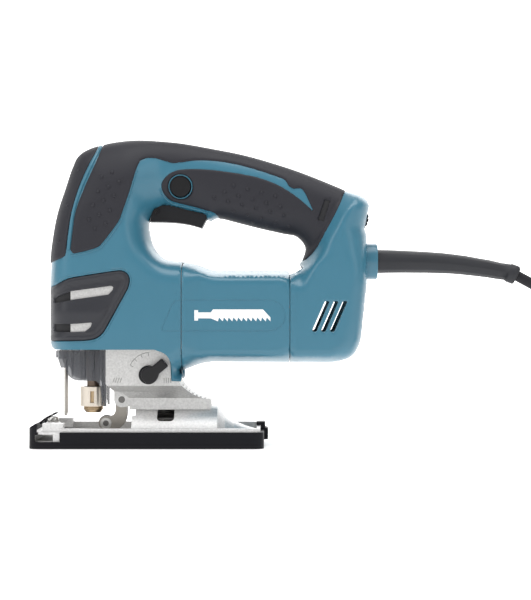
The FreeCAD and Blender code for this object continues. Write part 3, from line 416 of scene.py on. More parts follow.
def skin_panel(name, side, region, material, holes=(), lift=0.0, edge=0.0, thick=1.6, step=2.4,
               clip=True, proud=None):
    """Piece of the skin inside the region, less its holes, lifted off the shell, with its edges rolled."""
    region = [tuple(q) for q in region]
    cut_loops = [region] + [list(h) for h in holes]
    loops = list(cut_loops)
    if clip:
        loops += [side_outline, hand_hole]
    low_corner, high_corner = np.min(region, 0), np.max(region, 0)
    xs = np.arange(low_corner[0], high_corner[0], step)
    zs = np.arange(low_corner[1], high_corner[1], step)
    grid = [(x + (step / 2 if j % 2 else 0), z) for j, z in enumerate(zs) for x in xs]
    for loop in ([side_outline, hand_hole] if clip else []):
        grid += rows_beside(loop, (0.12, 0.5, 1.1, 2.0, 3.2, 4.8))
    for loop in (cut_loops if edge else []):
        grid += rows_beside(loop, (0.25, 0.7, 1.3, 2.1))
    grid = np.array(grid)
    keep = inside(grid, region)
    for h in holes:
        keep &= ~inside(grid, h)
    if clip:
        keep &= inside(grid, side_outline) & ~inside(grid, hand_hole)
    grid = grid[keep]
    rims = np.vstack([np.array(loop) for loop in loops])
    rims_next = np.vstack([np.roll(np.array(loop), -1, 0) for loop in loops])
    grid = grid[distance(grid, rims, rims_next) > 0.09]
    cells = set()
    spaced = []
    for q in grid:
        key = (round(q[0] / 0.35), round(q[1] / 0.35))
        if key not in cells:
            cells.add(key)
            spaced.append(q)
    points, edges = [], []
    for loop in loops:
        start = len(points)
        points += [Vector(q) for q in loop]
        edges += [(start + k, start + (k + 1) % len(loop)) for k in range(len(loop))]
    points += [Vector(q) for q in spaced]
    flat, _, tris, *_ = delaunay_2d_cdt(points, edges, [], 0, 1e-5)
    flat = np.array([tuple(q) for q in flat])
    tris = np.array([t for t in tris if len(t) == 3])
    middle_of = flat[tris].mean(1)
    keep = inside(middle_of, region)
    for h in holes:
        keep &= ~inside(middle_of, h)
    if clip:
        keep &= inside(middle_of, side_outline) & ~inside(middle_of, hand_hole)
    tris = tris[keep]
    used, back = np.unique(tris, return_inverse=True)
    flat, tris = flat[used], back.reshape(tris.shape)
    out = stand_out(flat)
    if proud is not None:
        out = out + proud(flat)
    shell = np.stack([flat[:, 0], out, flat[:, 1]], 1)
    if lift:
        across = np.cross(shell[tris[:, 1]] - shell[tris[:, 0]], shell[tris[:, 2]] - shell[tris[:, 0]])
        across *= np.where(across[:, 1:2] < 0, -1, 1)
        facing = np.zeros_like(shell)
        for corner in range(3):
            np.add.at(facing, tris[:, corner], across)
        facing[out < 0.05, 1] = 0
        facing /= np.linalg.norm(facing, axis=1)[:, None] + 1e-12
        rim = np.vstack([np.array(loop) for loop in cut_loops])
        rim_next = np.vstack([np.roll(np.array(loop), -1, 0) for loop in cut_loops])
        near = 1 - np.clip(distance(flat, rim, rim_next) / max(edge, 0.01), 0, 1)
        height = (lift * (0.25 + 0.75 * ease(0, 9, out)) + 0.6) * (1 - near ** 2.4) ** (1 / 2.4) - 0.6
        shell = shell + facing * height[:, None]
        shell[:, 1] = np.maximum(shell[:, 1], 0)
    shell = [(x, side * y, z) for x, y, z in shell]
    piece = place_mesh(name, shell, [tuple(t) for t in tris.tolist()], material, "housing")
    mesh = piece.data
    up = sum(p.normal.y * p.area for p in mesh.polygons)
    if up * side < 0:
        mesh.flip_normals()
    if thick:
        wall = piece.modifiers.new("wall", "SOLIDIFY")
        wall.thickness = thick / 1000
        wall.offset = -1
    return piece


teal = finish("teal_nylon", (0.036, 0.156, 0.228), 0.34, grain=2600, depth=0.000012, mottle=0.035, rough_play=0.05,
              coat=0.12)


def circle_at(x, z, radius, count=40):
    """Side-view circle as a closed loop."""
    return [(x + radius * math.cos(2 * math.pi * k / count), z + radius * math.sin(2 * math.pi * k / count))
            for k in range(count)]


grille_window = line_of([(-112, 106.2), (-101.2, 109.4), (-92, 113.6), (-80, 115.9), (-61.5, 118.8)],
                        [(-61.5, 118.8), (-56, 119.2), (-51.6, 117), (-50, 112.5), (-51.2, 107)],
                        [(-51.2, 107), (-65, 81.8)], [(-65, 81.8), (-68.6, 76.4), (-73.8, 73), (-81, 71.9)],
                        [(-81, 71.9), (-112, 71.3)], [(-112, 71.3), (-112, 106.2)], step=1.2)
vents = [line_of(*straight([(80.4 + 6 * i, 98.0), (81.2 + 6 * i, 98.6), (82.9 + 6 * i, 98.6), (83.5 + 6 * i, 97.8),
                            (75.1 + 6 * i, 78.6), (74.3 + 6 * i, 78.0), (72.6 + 6 * i, 78.0), (72 + 6 * i, 78.8),
                            (80.4 + 6 * i, 98.0)]), step=1.5) for i in range(3)]
button_x, button_z = -16.9, 176.1
front_half_plane = line_of(*straight([(-120, 30), (-15.95, 30), (-15.95, 130), (-30, 150), (0, 150), (60, 130),
                                      (66, 121), (61, 118), (57.35, 117), (57.35, 40), (130, 40), (130, 220),
                                      (-120, 220), (-120, 30)]), step=3)
nose_pad = line_of([(-73.8, 207.5), (-73.1, 202.2), (-77.3, 192.5), (-84.3, 176.4), (-88.9, 160.3), (-91.4, 143),
                    (-92.7, 131.5)],
                   [(-92.7, 131.5), (-93.4, 128.9), (-95.4, 127.5), (-101.6, 125.4), (-108, 123.4)],
                   *straight([(-108, 123.4), (-116, 123), (-116, 214), (-73.8, 214), (-73.8, 207.5)]))
main_pad = line_of([(-69.8, 209), (-70.8, 202.2), (-74.4, 190.4), (-81.4, 174.2), (-86.7, 158.9), (-88.7, 144.9),
                    (-90, 133.4)], [(-90, 133.4), (-89.7, 131), (-87.6, 130.2), (-72.7, 134), (-67.4, 138.6),
                                    (-58.1, 151), (-55.3, 157.4), (-50.8, 170.8), (-45.7, 188.3)],
                   [(-45.7, 188.3), (-43.9, 192.3), (-40.4, 194.8), (-32.9, 194.9), (-23.5, 192.1), (-17, 192.3),
                    (-6.2, 193.8), (5.9, 193.5), (20.6, 191.3), (36.7, 186.9), (50.7, 182.2)],
                   [(50.7, 182.2), (54.1, 180.2), (56.7, 176.1), (60.1, 174.5), (64.1, 174.9), (67.4, 171.5),
                    (72.6, 160.1)],
                   [(72.6, 160.1), (68.8, 163.5), (60.8, 170.1), (48.8, 177.5), (34, 182.8), (15.2, 186.2),
                    (-0.8, 187.9), (-14.2, 187.9), (-22.2, 186.2), (-27.5, 182.2), (-30, 177.5), (-28.9, 172.2),
                    (-24.9, 167.5), (-19.6, 165.4), (-8.9, 162.8), (3.5, 159.2), (7.5, 157), (9.5, 153)],
                   *straight([(9.5, 153), (12, 140), (60, 133), (60, 126), (66.4, 126)]),
                   [(66.4, 126), (68.2, 126.6), (74.8, 133.4), (82.2, 146.7), (89.1, 159.7), (95.2, 173.2)],
                   *straight([(95.2, 173.2), (98, 180), (98, 216), (-69.8, 216), (-69.8, 209)]))


def shrunk(loop, inset):
    """The closed loop moved inwards by inset, less the points that end up too near it."""
    ring = np.array(loop)
    normal = across_of(ring)
    moved = ring + normal * inset
    if inside(moved, loop).mean() < 0.5:
        moved = ring - normal * inset
    keep = inside(moved, loop) & (distance(moved, ring, np.roll(ring, -1, 0)) > 0.9 * inset)
    return [tuple(q) for q in moved[keep]]


screw_places = [(-92, 128), (-60, 187), (-48, 158), (30, 176), (78, 160), (96, 66), (92, 110)]
rear_slots = []
for i in range(5):
    z = 77 + 5.9 * i
    back = 107.2 + (z - 80.8) * 0.1
    slot_corners = [(back - 0.95, z), (back + 3, z), (back + 3, z + 2.4), (back - 0.75, z + 2.4), (back - 0.95, z)]
    rear_slots.append(line_of(*straight(slot_corners), step=0.6))
for side, label in ((-1, "left"), (1, "right")):
    holes = [grille_window, *vents, *rear_slots, shrunk(nose_pad, 1.3), shrunk(main_pad, 1.3)]
    if side < 0:
        holes.append(circle_at(button_x, button_z, 7.9))
    else:
        holes += [circle_at(x, z, 3.8, 28) for x, z in screw_places]
    shell = skin_panel(f"shell_{label}", side, front_half_plane, teal, holes)
    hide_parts(f"handle_{label}")


# ---- Soft grips ----------------------------------------------------------------------------------
# Dark grey elastomer moulded over the shells on both sides: one pad over the nose, one from the front cover along
# the grip to the rear cover. The edges are rolled into a groove and small domes give the hand a hold.
grip_rubber = finish("grip_elastomer", (0.0215, 0.0215, 0.0275), 0.58, grain=2200, depth=0.00003, mottle=0.08,
                     rough_play=0.06, shine=0.28)
# Near-black painted shade: sheets in this finish stand for the shadow in the strap mark, down the screw wells and
# behind the grille slots.
painted_recess_shade = finish("painted_recess_shade", (0.01, 0.01, 0.012), 0.7, grain=1800, depth=0.00003)
pad_lift = 0.85
dome_radius, dome_rings, dome_around = 1.3, 4, 14
slope_step = 0.4
strap_mark = line_of(*straight([(84.2, 166.3), (81, 167.2), (76.6, 154), (79.8, 152.6), (84.2, 166.3)]), step=0.8)
for side, label in ((-1, "left"), (1, "right")):
    holes = [circle_at(button_x, button_z, 8.3)] if side < 0 else \
        [circle_at(x, z, 3.8, 28) for x, z in screw_places if inside([(x, z)], main_pad)[0]]
    holes.append(strap_mark)
    pad = skin_panel(f"grip_pad_{label}", side, main_pad, grip_rubber, holes, lift=pad_lift, edge=1.6,
                     thick=0)
    skin_panel(f"nose_pad_{label}", side, nose_pad, grip_rubber,
               [circle_at(-92, 128, 3.8, 28)] if side > 0 else [], lift=pad_lift, edge=1.6, thick=0)
    # The strap mark is a near-black sheet under the pad's hole: painted shade in the recess.
    skin_panel(f"strap_mark_shade_{label}", side, strap_mark, painted_recess_shade, thick=0, step=1)
    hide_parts(f"grip_{label}")
    domes_at = [(x - 7.0 * k, z - 3.05 * k) for x, z, n in
                ((-62.1, 184.8, 2), (-57.4, 178.2, 3), (-60.7, 168.9, 3), (-63.4, 159.3, 3), (-66.3, 150.3, 2))
                for k in range(n)]
    domes_at += [(x + 9.45 * k, z - 2.4 * k) for x, z, n in
                 ((19, 176.8, 4), (12.9, 172.1, 5), (5.9, 168.6, 6), (19, 159.4, 5), (32.2, 152.6, 3))
                 for k in range(n)]
    domes_at += [(-85.3, 187), (-92.3, 163), (-97.9, 138.6)]
    points, faces = [], []
    for x, z in domes_at:
        h, hx, hz = stand_out([(x, z), (x + slope_step, z), (x, z + slope_step)])
        normal = Vector((-(hx - h) / slope_step, 1, -(hz - h) / slope_step)).normalized()
        normal.y *= side
        right = Vector((1, 0, 0)).cross(normal).normalized()
        ahead = normal.cross(right)
        foot = Vector((x, side * (h + pad_lift - 0.1), z))
        start = len(points)
        for ring in range(dome_rings):
            rise, spread = math.sin(ring * math.pi / 8), math.cos(ring * math.pi / 8)
            for k in range(dome_around):
                a = 2 * math.pi * k / dome_around
                points.append(foot + normal * 0.95 * rise
                              + (right * math.cos(a) + ahead * math.sin(a)) * dome_radius * spread)
        points.append(foot + normal * 1.0)
        faces += walls(dome_rings, dome_around, start)
        last, crown = start + (dome_rings - 1) * dome_around, start + dome_rings * dome_around
        faces += [(last + k, last + (k + 1) % dome_around, crown) for k in range(dome_around)]
    place_mesh(f"grip_domes_{label}", points, faces, grip_rubber, "housing")


# ---- Teal beads round the grips ------------------------------------------------------------------
# The shells stand up in a narrow bead between the two pads and along the pads' lower edges.
def drawn_line(name, lines, radius, material, body, closed=False):
    """Raised lines through (x, y, z) points in mm."""
    curve = bpy.data.curves.new(name, "CURVE")
    curve.dimensions = "3D"
    curve.bevel_depth = radius / 1000
    curve.bevel_resolution = 3
    curve.use_fill_caps = True
    for line in lines:
        spline = curve.splines.new("POLY")
        spline.points.add(len(line) - 1)
        for point, (x, y, z) in zip(spline.points, line):
            point.co = (x / 1000, y / 1000, z / 1000, 1)
        spline.use_cyclic_u = closed
    curve.materials.append(material)
    piece = bpy.data.objects.new(name, curve)
    scene.collection.objects.link(piece)
    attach(piece, body)


def bead(name, side, lines, radius, lift, material, closed=False):
    """Raised cord of plastic that follows the skin along each side-view line."""
    on_skin = [[(x, side * (h + lift), z) for (x, z), h in zip(line, stand_out(line))] for line in lines]
    drawn_line(name, on_skin, radius, material, "housing", closed)


between = line_of([(-71.9, 203.9), (-72.2, 202), (-76, 191.4), (-83, 175.2), (-87.9, 159.5), (-90.1, 144),
                   (-91.4, 131.5)])
under_thumb = line_of([(-30.6, 174.5), (-29.6, 171), (-25.2, 166.3), (-19.8, 164.2), (-9.1, 161.6), (2.6, 158.2),
                       (6, 156.4)])
front_edge = line_of([(-89.5, 129.2), (-87.4, 129), (-72.3, 132.8), (-66.6, 137.6), (-57.1, 150.4), (-54.2, 157),
                      (-49.7, 170.6), (-44.8, 187.8)])
for side, label in ((-1, "left"), (1, "right")):
    bead(f"nose_bead_{label}", side, [between], 1.15, 0.1, teal)
    bead(f"thumb_bead_{label}", side, [under_thumb], 0.6, 0.1, teal)
    bead(f"pad_bead_{label}", side, [front_edge], 0.4, 0.1, teal)
    ribs = [[(-27 + 3.1 * k, 165.2 - 0.62 * k), (-25.6 + 3.1 * k, 162.6 - 0.62 * k)] for k in range(10)]
    bead(f"thumb_ribs_{label}", side, ribs, 0.35, 0.1, teal)


# ---- Front grille --------------------------------------------------------------------------------
# Dark grey nylon moulding that fills the window in the front covers and wraps round the nose: a thick frame with a
# louvre across the middle and an open slot above and below it.
grille_nylon = finish("grille_nylon", (0.028, 0.029, 0.035), 0.42, grain=1800, depth=0.00002, mottle=0.08,
                      shine=0.3)
upper_slot = line_of(*straight([(-102, 100.4), (-98.5, 102.2), (-89.6, 105.2), (-62.6, 108.8), (-61.4, 108),
                                (-61.7, 106), (-64.6, 102.9), (-88.3, 99.5), (-97.9, 97.7), (-101.4, 97.3),
                                (-102, 98), (-102, 100.4)]), step=1)
lower_slot = line_of(*straight([(-102, 82.7), (-101.4, 83.3), (-89, 83.2), (-76, 84.2), (-75.6, 83.6),
                                (-76.5, 81.2), (-80.2, 78.2), (-89, 77.8), (-101.4, 78), (-102, 78.6),
                                (-102, 82.7)]), step=1)
grille_rim = np.array(grille_window)
grille_rim_next = np.roll(grille_rim, -1, 0)


def louvre(points):
    """The frame stands proud at its edge, and the middle louvre bulges between the slots."""
    gap = distance(points, grille_rim, grille_rim_next)
    frame_part = 1.9 * (1 - ease(3.6, 5.2, gap)) * ease(-0.6, 1.4, gap)
    middle_part = 1.3 * np.exp(-((points[:, 1] - 91.2) / 5.0) ** 2) * ease(5, 8, gap)
    return frame_part + middle_part - 1.2


for side, label in ((-1, "left"), (1, "right")):
    grille = skin_panel(f"grille_{label}", side, grille_window, grille_nylon,
                        [upper_slot, lower_slot], thick=2.4, step=1.4, proud=louvre)
    if side < 0:
        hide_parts("front_grille")
    rim_line = [tuple(q) for q in grille_rim + 0.55 * (grille_rim - grille_rim.mean(0))
                / np.linalg.norm(grille_rim - grille_rim.mean(0), axis=1)[:, None] if q[0] > -105.5]
    bead(f"grille_bead_{label}", side, [rim_line], 0.4, 0.05, teal)
    # A near-black sheet 3.2 to 6.5 mm behind the grille is painted shade: it covers the bright block behind the
    # slots so that they look dark.
    grille_shade_outline = line_of(*straight([(-104, 74.5), (-63, 74.5), (-54, 104), (-56, 115), (-104, 106), (-104, 74.5)]),
                    step=3)
    skin_panel(f"grille_shade_sheet_{label}", side, grille_shade_outline, painted_recess_shade, thick=0, clip=False,
               proud=lambda q: -np.where(q[:, 0] < -88, 3.2, 6.5))


# ---- Motor housing -------------------------------------------------------------------------------
# Teal nylon barrel between the front and rear covers. A fine raised line frames the maker's panel, which carries a
# plain white saw-blade sign.
barrel_region = line_of(*straight([(-15.5, 30), (56.9, 30), (56.9, 119.9), (52, 125), (-4, 128), (-15.5, 128),
                                   (-15.5, 30)]), step=3)
for side, label in ((-1, "left"), (1, "right")):
    barrel = skin_panel(f"barrel_{label}", side, barrel_region, teal)
    if side < 0:
        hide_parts("motor_housing")
    panel_line = line_of([(-15.2, 99.3), (43.6, 99.3)],
                         [(43.6, 99.3), (50.9, 96.3), (53.9, 88.95), (50.9, 81.6), (43.6, 78.6)],
                         [(43.6, 78.6), (-15.2, 78.6)]) + [(-15.2, 78.6)]
    bead(f"panel_line_{label}", side, [panel_line], 0.22, 0.0, teal)
    panel_end = line_of([(-16.1, 99.3), (-18.5, 99.3)], [(-18.5, 99.3), (-20.6, 98.4), (-21.8, 96.2)],
                        [(-21.8, 96.2), (-28.4, 81.4)], [(-28.4, 81.4), (-28.7, 79.4), (-26.9, 78.6)],
                        [(-26.9, 78.6), (-16.1, 78.6)]) + [(-16.1, 78.6)]
    bead(f"panel_end_{label}", side, [panel_end], 0.22, 0.0, teal)

sign_white = finish("sign_white", (0.86, 0.87, 0.87), 0.4, grain=2000, depth=0.000006, mottle=0.02)
blade_sign = [(-7, 85.5), (-7, 92.5), (-4.5, 92.5), (-4.5, 91), (4, 91), (5.5, 93), (39, 93), (44, 87.6), (44, 85)]
for k in range(11):
    blade_sign += [(41.6 - 3.2 * k, 87.6), (40.8 - 3.2 * k, 85)]
blade_sign += [(4, 87), (-4.5, 87), (-4.5, 85.5)]
for side, label in ((-1, "left"), (1, "right")):
    skin_panel(f"blade_sign_{label}", side, line_of(*straight(blade_sign + blade_sign[:1]), step=1),
               sign_white, thick=0, clip=False, proud=lambda p: np.full(len(p), 0.12))


# ---- Cord boss -----------------------------------------------------------------------------------
# Round collar at the back of the rear cover, moulded half on each shell, that the bend sleeve comes out of.
def turned(name, stations, axis_y, axis_z, around, material, body):
    """Round piece about an X line, from (x, radius) stations."""
    points = []
    for x, r in stations:
        for k in range(around):
            a = 2 * math.pi * k / around
            points.append((x, axis_y + r * math.cos(a), axis_z + r * math.sin(a)))
    return place_mesh(name, points, walls(len(stations), around), material, body)


turned("cord_boss", [(104, 11.6), (106, 12.2), (116.6, 12.2), (117.1, 12.0), (117.4, 11.4), (117.4, 9.0),
                     (116.9, 8.6), (110, 8.5)], 0, 125.8, 56, teal, "housing")


# ---- Lock button, trigger and speed dial ---------------------------------------------------------
# Black acetal controls: a round button through the left grip that holds the trigger on, the trigger under the
# grip, and the edge of the speed wheel at the back of the rear cover.
acetal = finish("black_acetal", (0.008, 0.008, 0.009), 0.3, grain=1500, depth=0.00001, mottle=0.1, shine=0.3)
trigger_nylon = finish("trigger_nylon", (0.012, 0.012, 0.014), 0.45, grain=2000, depth=0.00003, shine=0.25)
dress("lock_button", acetal, 0.7)
dress("trigger", trigger_nylon, 1.5)
dress("speed_dial", acetal, 0.2)
bead("lock_ring", -1, [circle_at(button_x, button_z, 7.75, 64)], 0.42, 0.35, teal, closed=True)


# ---- Screw wells and screws ----------------------------------------------------------------------
# Seven steel screws, driven from the right, hold the two shells together; their heads sit in round wells, lined in
# near-black as painted shade.
bright_steel = finish("bright_steel", (0.58, 0.57, 0.55), 0.3, metal=1.0, grain=700, depth=0.000006, mottle=0.06)
dark_steel = finish("dark_steel", (0.16, 0.155, 0.15), 0.38, metal=1.0, grain=900, depth=0.00001, mottle=0.12)
dress("handle_screws", dark_steel, 0.3)
well_radius, well_foot, well_around = 3.75, 14.6 - 2.5, 28
for number, (x, z) in enumerate(screw_places, 1):
    mouth = float(stand_out([(x, z)])[0]) - 0.3
    points = [(x + well_radius * math.cos(2 * math.pi * k / well_around), y,
               z + well_radius * math.sin(2 * math.pi * k / well_around))
              for y in (well_foot, mouth) for k in range(well_around)]
    # The well walls are near-black painted shade, for the shadow down each well.
    well = place_mesh(f"screw_well_{number}", points, walls(2, well_around), painted_recess_shade, "housing")
    well.modifiers.new("wall", "SOLIDIFY").thickness = 0.0006


# ---- Gear housing and its lever ------------------------------------------------------------------
# Die-cast aluminium block that carries the gears and clamps the base; its skin is left as blasted. A black lever on
# a spindle sets the orbit, against marks cast in the side.
cast = finish("cast_aluminium", (0.58, 0.575, 0.565), 0.46, metal=0.75, grain=1100, depth=0.00012, mottle=0.32,
              rough_play=0.14, patch=750)
cast_base = finish("cast_base", (0.70, 0.695, 0.69), 0.44, metal=0.7, grain=1000, depth=0.00014, mottle=0.28,
                   rough_play=0.14, patch=700)
# The block's upper walls follow the shells' inner face: they are cut in 2 mm strips beside the hand opening, and
# drawn in there so that they stay under the rolled skin.
block = bmesh.new()
block.from_mesh(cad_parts["gear_housing"].data)
block.transform(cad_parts["gear_housing"].matrix_world)
drawn_from, drawn_fully = 113, 118
skin_clearance, full_half_width = 2.4, 29.5
for cuts, way in ((np.arange(-54, -8, 2.0), 0), (np.arange(118, 172, 2.0), 2)):
    for cut in cuts:
        near_hand = [f for f in block.faces if f.calc_center_median().z > (drawn_from - 1) / 1000]
        cut_parts = {e for f in near_hand for e in f.edges} | {v for f in near_hand for v in f.verts}
        place, facing = [0, 0, 0], [0, 0, 0]
        place[way], facing[way] = cut / 1000, 1
        bmesh.ops.bisect_plane(block, geom=near_hand + list(cut_parts), plane_co=place, plane_no=facing, dist=1e-6)
corners = np.array([v.co for v in block.verts]) * 1000
room = np.clip((stand_out(corners[:, [0, 2]]) - skin_clearance) / full_half_width, 0.12, 1)
corners[:, 1] *= 1 + (room - 1) * ease(drawn_from, drawn_fully, corners[:, 2])
housing_block = place_mesh("gear_block", corners, [[v.index for v in f.verts] for f in block.faces], cast,
                           "housing")
block.free()
housing_block.data.set_sharp_from_angle(angle=math.radians(32))
break_edges(housing_block, 0.5)
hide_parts("gear_housing")
dress("roller_arm_pin", dark_steel, 0.4)


mark_grey = finish("mark_grey", (0.3, 0.3, 0.29), 0.5, metal=0.7, grain=1500, depth=0.00003)
lever_x, lever_z = -37.0, 48.9
block_face = -25.05
marks = [[(lever_x + 15 * math.cos(math.radians(a)), block_face, lever_z + 15 * math.sin(math.radians(a)))
          for a in range(92, 158, 3)]]
for a in (95, 115, 135, 155):
    marks.append([(lever_x + r * math.cos(math.radians(a)), block_face, lever_z + r * math.sin(math.radians(a)))
                  for r in (12.6, 14.6)])
for k in range(4):
    marks.append([(-27.6 + 1.5 * k, block_face, 43.4), (-27.6 + 1.5 * k, block_face, 46.8)])
    marks.append([(-62.2 + 1.6 * k, block_face, 43.6), (-61 + 1.6 * k, block_face, 47)])
drawn_line("orbit_marks", marks, 0.22, mark_grey, "housing")
drawn_line("clamp_steps", [[(x, -11.5, z), (x, 11.5, z)] for x, z in
                           ((-15.4, 41.2), (-13.4, 39.2), (-11.2, 37.3), (-8.8, 35.6), (-6.2, 34.3), (-3.4, 33.2),
                            (-0.6, 32.3), (2.0, 31.6))], 0.55, cast, "housing")
lever_outline = line_of([(-5.7, 0), (-5, 2.9), (-2.8, 5), (0, 5.7), (3, 4.9)], [(3, 4.9), (5.4, 3.4)],
                        [(5.4, 3.4), (12.7, 3.5)], [(12.7, 3.5), (13.4, 2.8)], [(13.4, 2.8), (13.4, -2.8)],
                        [(13.4, -2.8), (12.7, -3.5)], [(12.7, -3.5), (5.4, -3.4)],
                        [(5.4, -3.4), (3, -4.9), (0, -5.7), (-2.8, -5), (-5, -2.9), (-5.7, 0)], step=0.7)


def plate_piece(name, outline, y0, y1, material, body, edge=0.5):
    """Flat plate with a side-view outline, from y0 to y1, with broken edges."""
    count = len(outline)
    points = [(x, y, z) for y in (y0, y1) for x, z in outline]
    faces = walls(2, count) + ends(2, count)
    piece = place_mesh(name, points, faces, material, body, smooth=False)
    break_edges(piece, edge, segments=3, sharper_than=50)
    return piece


rest_turn = math.radians(40)
turned_outline = [(lever_x + x * math.cos(rest_turn) - z * math.sin(rest_turn),
                   lever_z + x * math.sin(rest_turn) + z * math.cos(rest_turn)) for x, z in lever_outline]
lever = plate_piece("orbit_lever_moulding", turned_outline, -31.4, -26.4, acetal, "orbit", 0.8)
disc_line = [(lever_x - 1 + 8.4 * math.cos(2 * math.pi * k / 48) * (0.8 if 12 < k < 36 else 0.72),
              lever_z + 6.4 * math.sin(2 * math.pi * k / 48)) for k in range(48)]
plate_piece("orbit_disc", disc_line, -26.9, -25.5, trigger_nylon, "orbit", 0.4)
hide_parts("orbit_lever")


# ---- Plunger, blade clamp and its guide roller ---------------------------------------------------
# Ground steel plunger, blued by heat near its end, with a quick blade clamp: a nickel-plated sleeve turns on a
# steel core. Behind it a grooved roller on a bent sintered arm backs up the blade.
nickel = finish("satin_nickel", (0.66, 0.60, 0.52), 0.3, metal=1.0, grain=900, depth=0.00001, mottle=0.08,
                rough_play=0.08)
straw = finish("straw_steel", (0.47, 0.35, 0.22), 0.33, metal=1.0, grain=900, depth=0.00001, mottle=0.22, patch=160)
blued = finish("blued_steel", (0.13, 0.10, 0.08), 0.3, metal=1.0, grain=900, depth=0.00001, mottle=0.25, patch=120)
sintered = finish("sintered_steel", (0.36, 0.335, 0.30), 0.42, metal=0.9, grain=1600, depth=0.00004, mottle=0.1,
                  patch=500)
dress("clamp_sleeve", nickel, 0.7)
dress("blade_clamp_core", straw, 0.35)
dress("clamp_pin", bright_steel, 0.2)
dress("plunger_rod", blued, 0.2)
dress("plunger_yoke", sintered, 0.4)
dress("roller_arm", sintered, 0.6)
dress("roller", dark_steel, 0.5)
dress("roller_pin", dark_steel, 0.4)
for number, y in ((1, -6.2), (2, 6.2)):
    plate_piece(f"roller_washer_{number}", circle_at(-68.5, 15, 3.9, 36), y - 0.45, y + 0.45, bright_steel,
                "blade_guide", 0.25)
plunger_x, collar_radius = -77.7, 6.62
turned_rings = [[(plunger_x + collar_radius * math.cos(2 * math.pi * k / 48),
                  collar_radius * math.sin(2 * math.pi * k / 48), z) for k in range(49)] for z in (24.6, 25.6)]
drawn_line("clamp_rings", turned_rings, 0.28, straw, "plunger")


# ---- Guard wire, dust cover and work light -------------------------------------------------------
# A bent nickel-plated wire keeps fingers off the blade. The smoked polycarbonate dust cover slides up over the
# nose, stiffened by upright ribs; a white lamp lens sits behind it.
dress("guard_wire", finish("wire_nickel", (0.42, 0.40, 0.37), 0.3, metal=1.0, grain=900, depth=0.00001, mottle=0.1))
smoked = finish("smoked_clear", (0.045, 0.05, 0.065), 0.12, grain=600, depth=0.00001, mottle=0.2, coat=0.6)
smoked_skin = smoked.node_tree.nodes["Principled BSDF"]
smoked_skin.inputs["Alpha"].default_value = 0.62
smoked_skin.inputs["IOR"].default_value = 1.58
dress("dust_cover", smoked, 0.3)
ribs = []
for x, low in ((-90.6, 47.2), (-84.6, 44.9), (-82.4, 44.8), (-76.2, 44.6), (-70.2, 27.6)):
    ribs += [[(x, s * 13.25, low), (x, s * 13.25, 64.6)] for s in (-1, 1)]
ribs += [[(-101.9, -8, 60), (-101.9, -8, 64.6)], [(-101.9, 8, 60), (-101.9, 8, 64.6)]]
drawn_line("cover_ribs", ribs, 0.55, smoked, "clear_guard")
lens_clear = finish("lens_white", (0.8, 0.82, 0.84), 0.15, grain=900, depth=0.00001, mottle=0.03, coat=0.5)
dress("led_lens", lens_clear, 0.3)


# ---- Base and sole cover -------------------------------------------------------------------------
# Cast aluminium base with a hollow hump that the tool tilts on, and the black slip-on sole under it. A clamp screw
# for the rip fence stands at the front, and the sole hooks over both ends of the casting.
sole_nylon = finish("sole_nylon", (0.0065, 0.0065, 0.009), 0.42, grain=1700, depth=0.00003, mottle=0.12, shine=0.13)
dress("base_casting", cast_base, 0.45)
dress("sole_cover", sole_nylon, 0.9)
dress("clamp_plate", dark_steel, 0.2)
dress("clamp_bolt", dark_steel, 0.3)


def standing(name, x, y, stations, around, material, body):
    """Round upright piece from (z, radius) stations, closed at both ends."""
    points = [(x + r * math.cos(2 * math.pi * k / around), y + r * math.sin(2 * math.pi * k / around), z)
              for z, r in stations for k in range(around)]
    faces = walls(len(stations), around) + ends(len(stations), around)
    return place_mesh(name, points, faces, material, body)


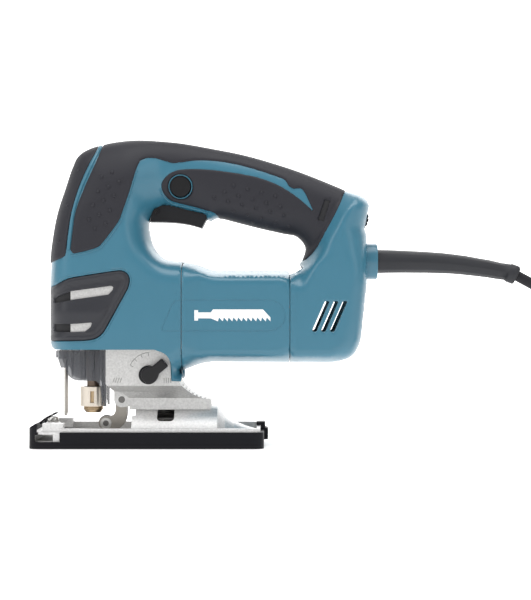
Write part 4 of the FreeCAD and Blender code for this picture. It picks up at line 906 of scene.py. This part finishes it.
standing("fence_boss", -105.2, 0, [(10.4, 5.2), (15, 5.0), (15.6, 4.4)], 40, cast_base, "base")
standing("fence_screw", -105.2, 0, [(15.2, 3.4), (15.6, 3.7), (18.6, 3.7), (19.2, 3.2), (19.2, 1.9), (17.2, 1.7)],
         24, bright_steel, "base")
hook_line = [(-112.6, 15.8), (-111, 17.8), (-108, 20), (-104.6, 21.6), (-104, 20.4), (-107.4, 18.8), (-110, 16.9),
             (-111.4, 15)]
for number, middle in ((1, -14), (2, 14)):
    plate_piece(f"sole_hook_{number}", hook_line, middle - 5, middle + 5, sole_nylon, "base", 0.4)


# ---- Inside the housing --------------------------------------------------------------------------
# Motor, gears and switchgear, in the metals and mouldings they are made of; they show through the slots and
# when the covers are off.
core_steel = finish("core_laminations", (0.30, 0.29, 0.28), 0.45, metal=0.9, grain=2500, depth=0.00006, mottle=0.1)
enamelled = finish("enamelled_copper", (0.42, 0.13, 0.045), 0.28, metal=0.7, grain=1900, depth=0.00012, mottle=0.15,
                   coat=0.4)
bare_copper = finish("commutator_copper", (0.62, 0.30, 0.16), 0.25, metal=1.0, grain=1200, depth=0.00001)
brush_carbon = finish("brush_carbon", (0.025, 0.025, 0.026), 0.6, grain=1800, depth=0.00004)
bronze = finish("sintered_bronze", (0.45, 0.29, 0.14), 0.4, metal=0.9, grain=1700, depth=0.00003)
bearing_steel = finish("bearing_steel", (0.55, 0.55, 0.55), 0.2, metal=1.0, grain=900, depth=0.000005)
gear_steel = finish("gear_steel", (0.34, 0.33, 0.32), 0.35, metal=1.0, grain=1300, depth=0.00001)
inner_nylon = finish("inner_nylon", (0.03, 0.03, 0.032), 0.5, grain=1600, depth=0.00003)
for material, nodes_of_it in (
        (core_steel, ("stator_core", "armature_core")), (enamelled, ("field_coils", "armature_windings")),
        (bare_copper, ("commutator",)), (brush_carbon, ("carbon_brushes",)), (bronze, ("plunger_bushes",)),
        (bearing_steel, ("front_bearing", "rear_bearing")), (sintered, ("counterweight", "eccentric")),
        (gear_steel, ("armature_shaft", "pinion", "crank_gear", "crank_pin", "gear_shaft")),
        (inner_nylon, ("fan", "baffle_plate", "brush_holders", "speed_controller", "switch_unit", "cord_clamp")),
        (bright_steel, ("gear_housing_screws",)), (acetal, ("trigger_pin",))):
    for node in nodes_of_it:
        dress(node, material, 0.15)
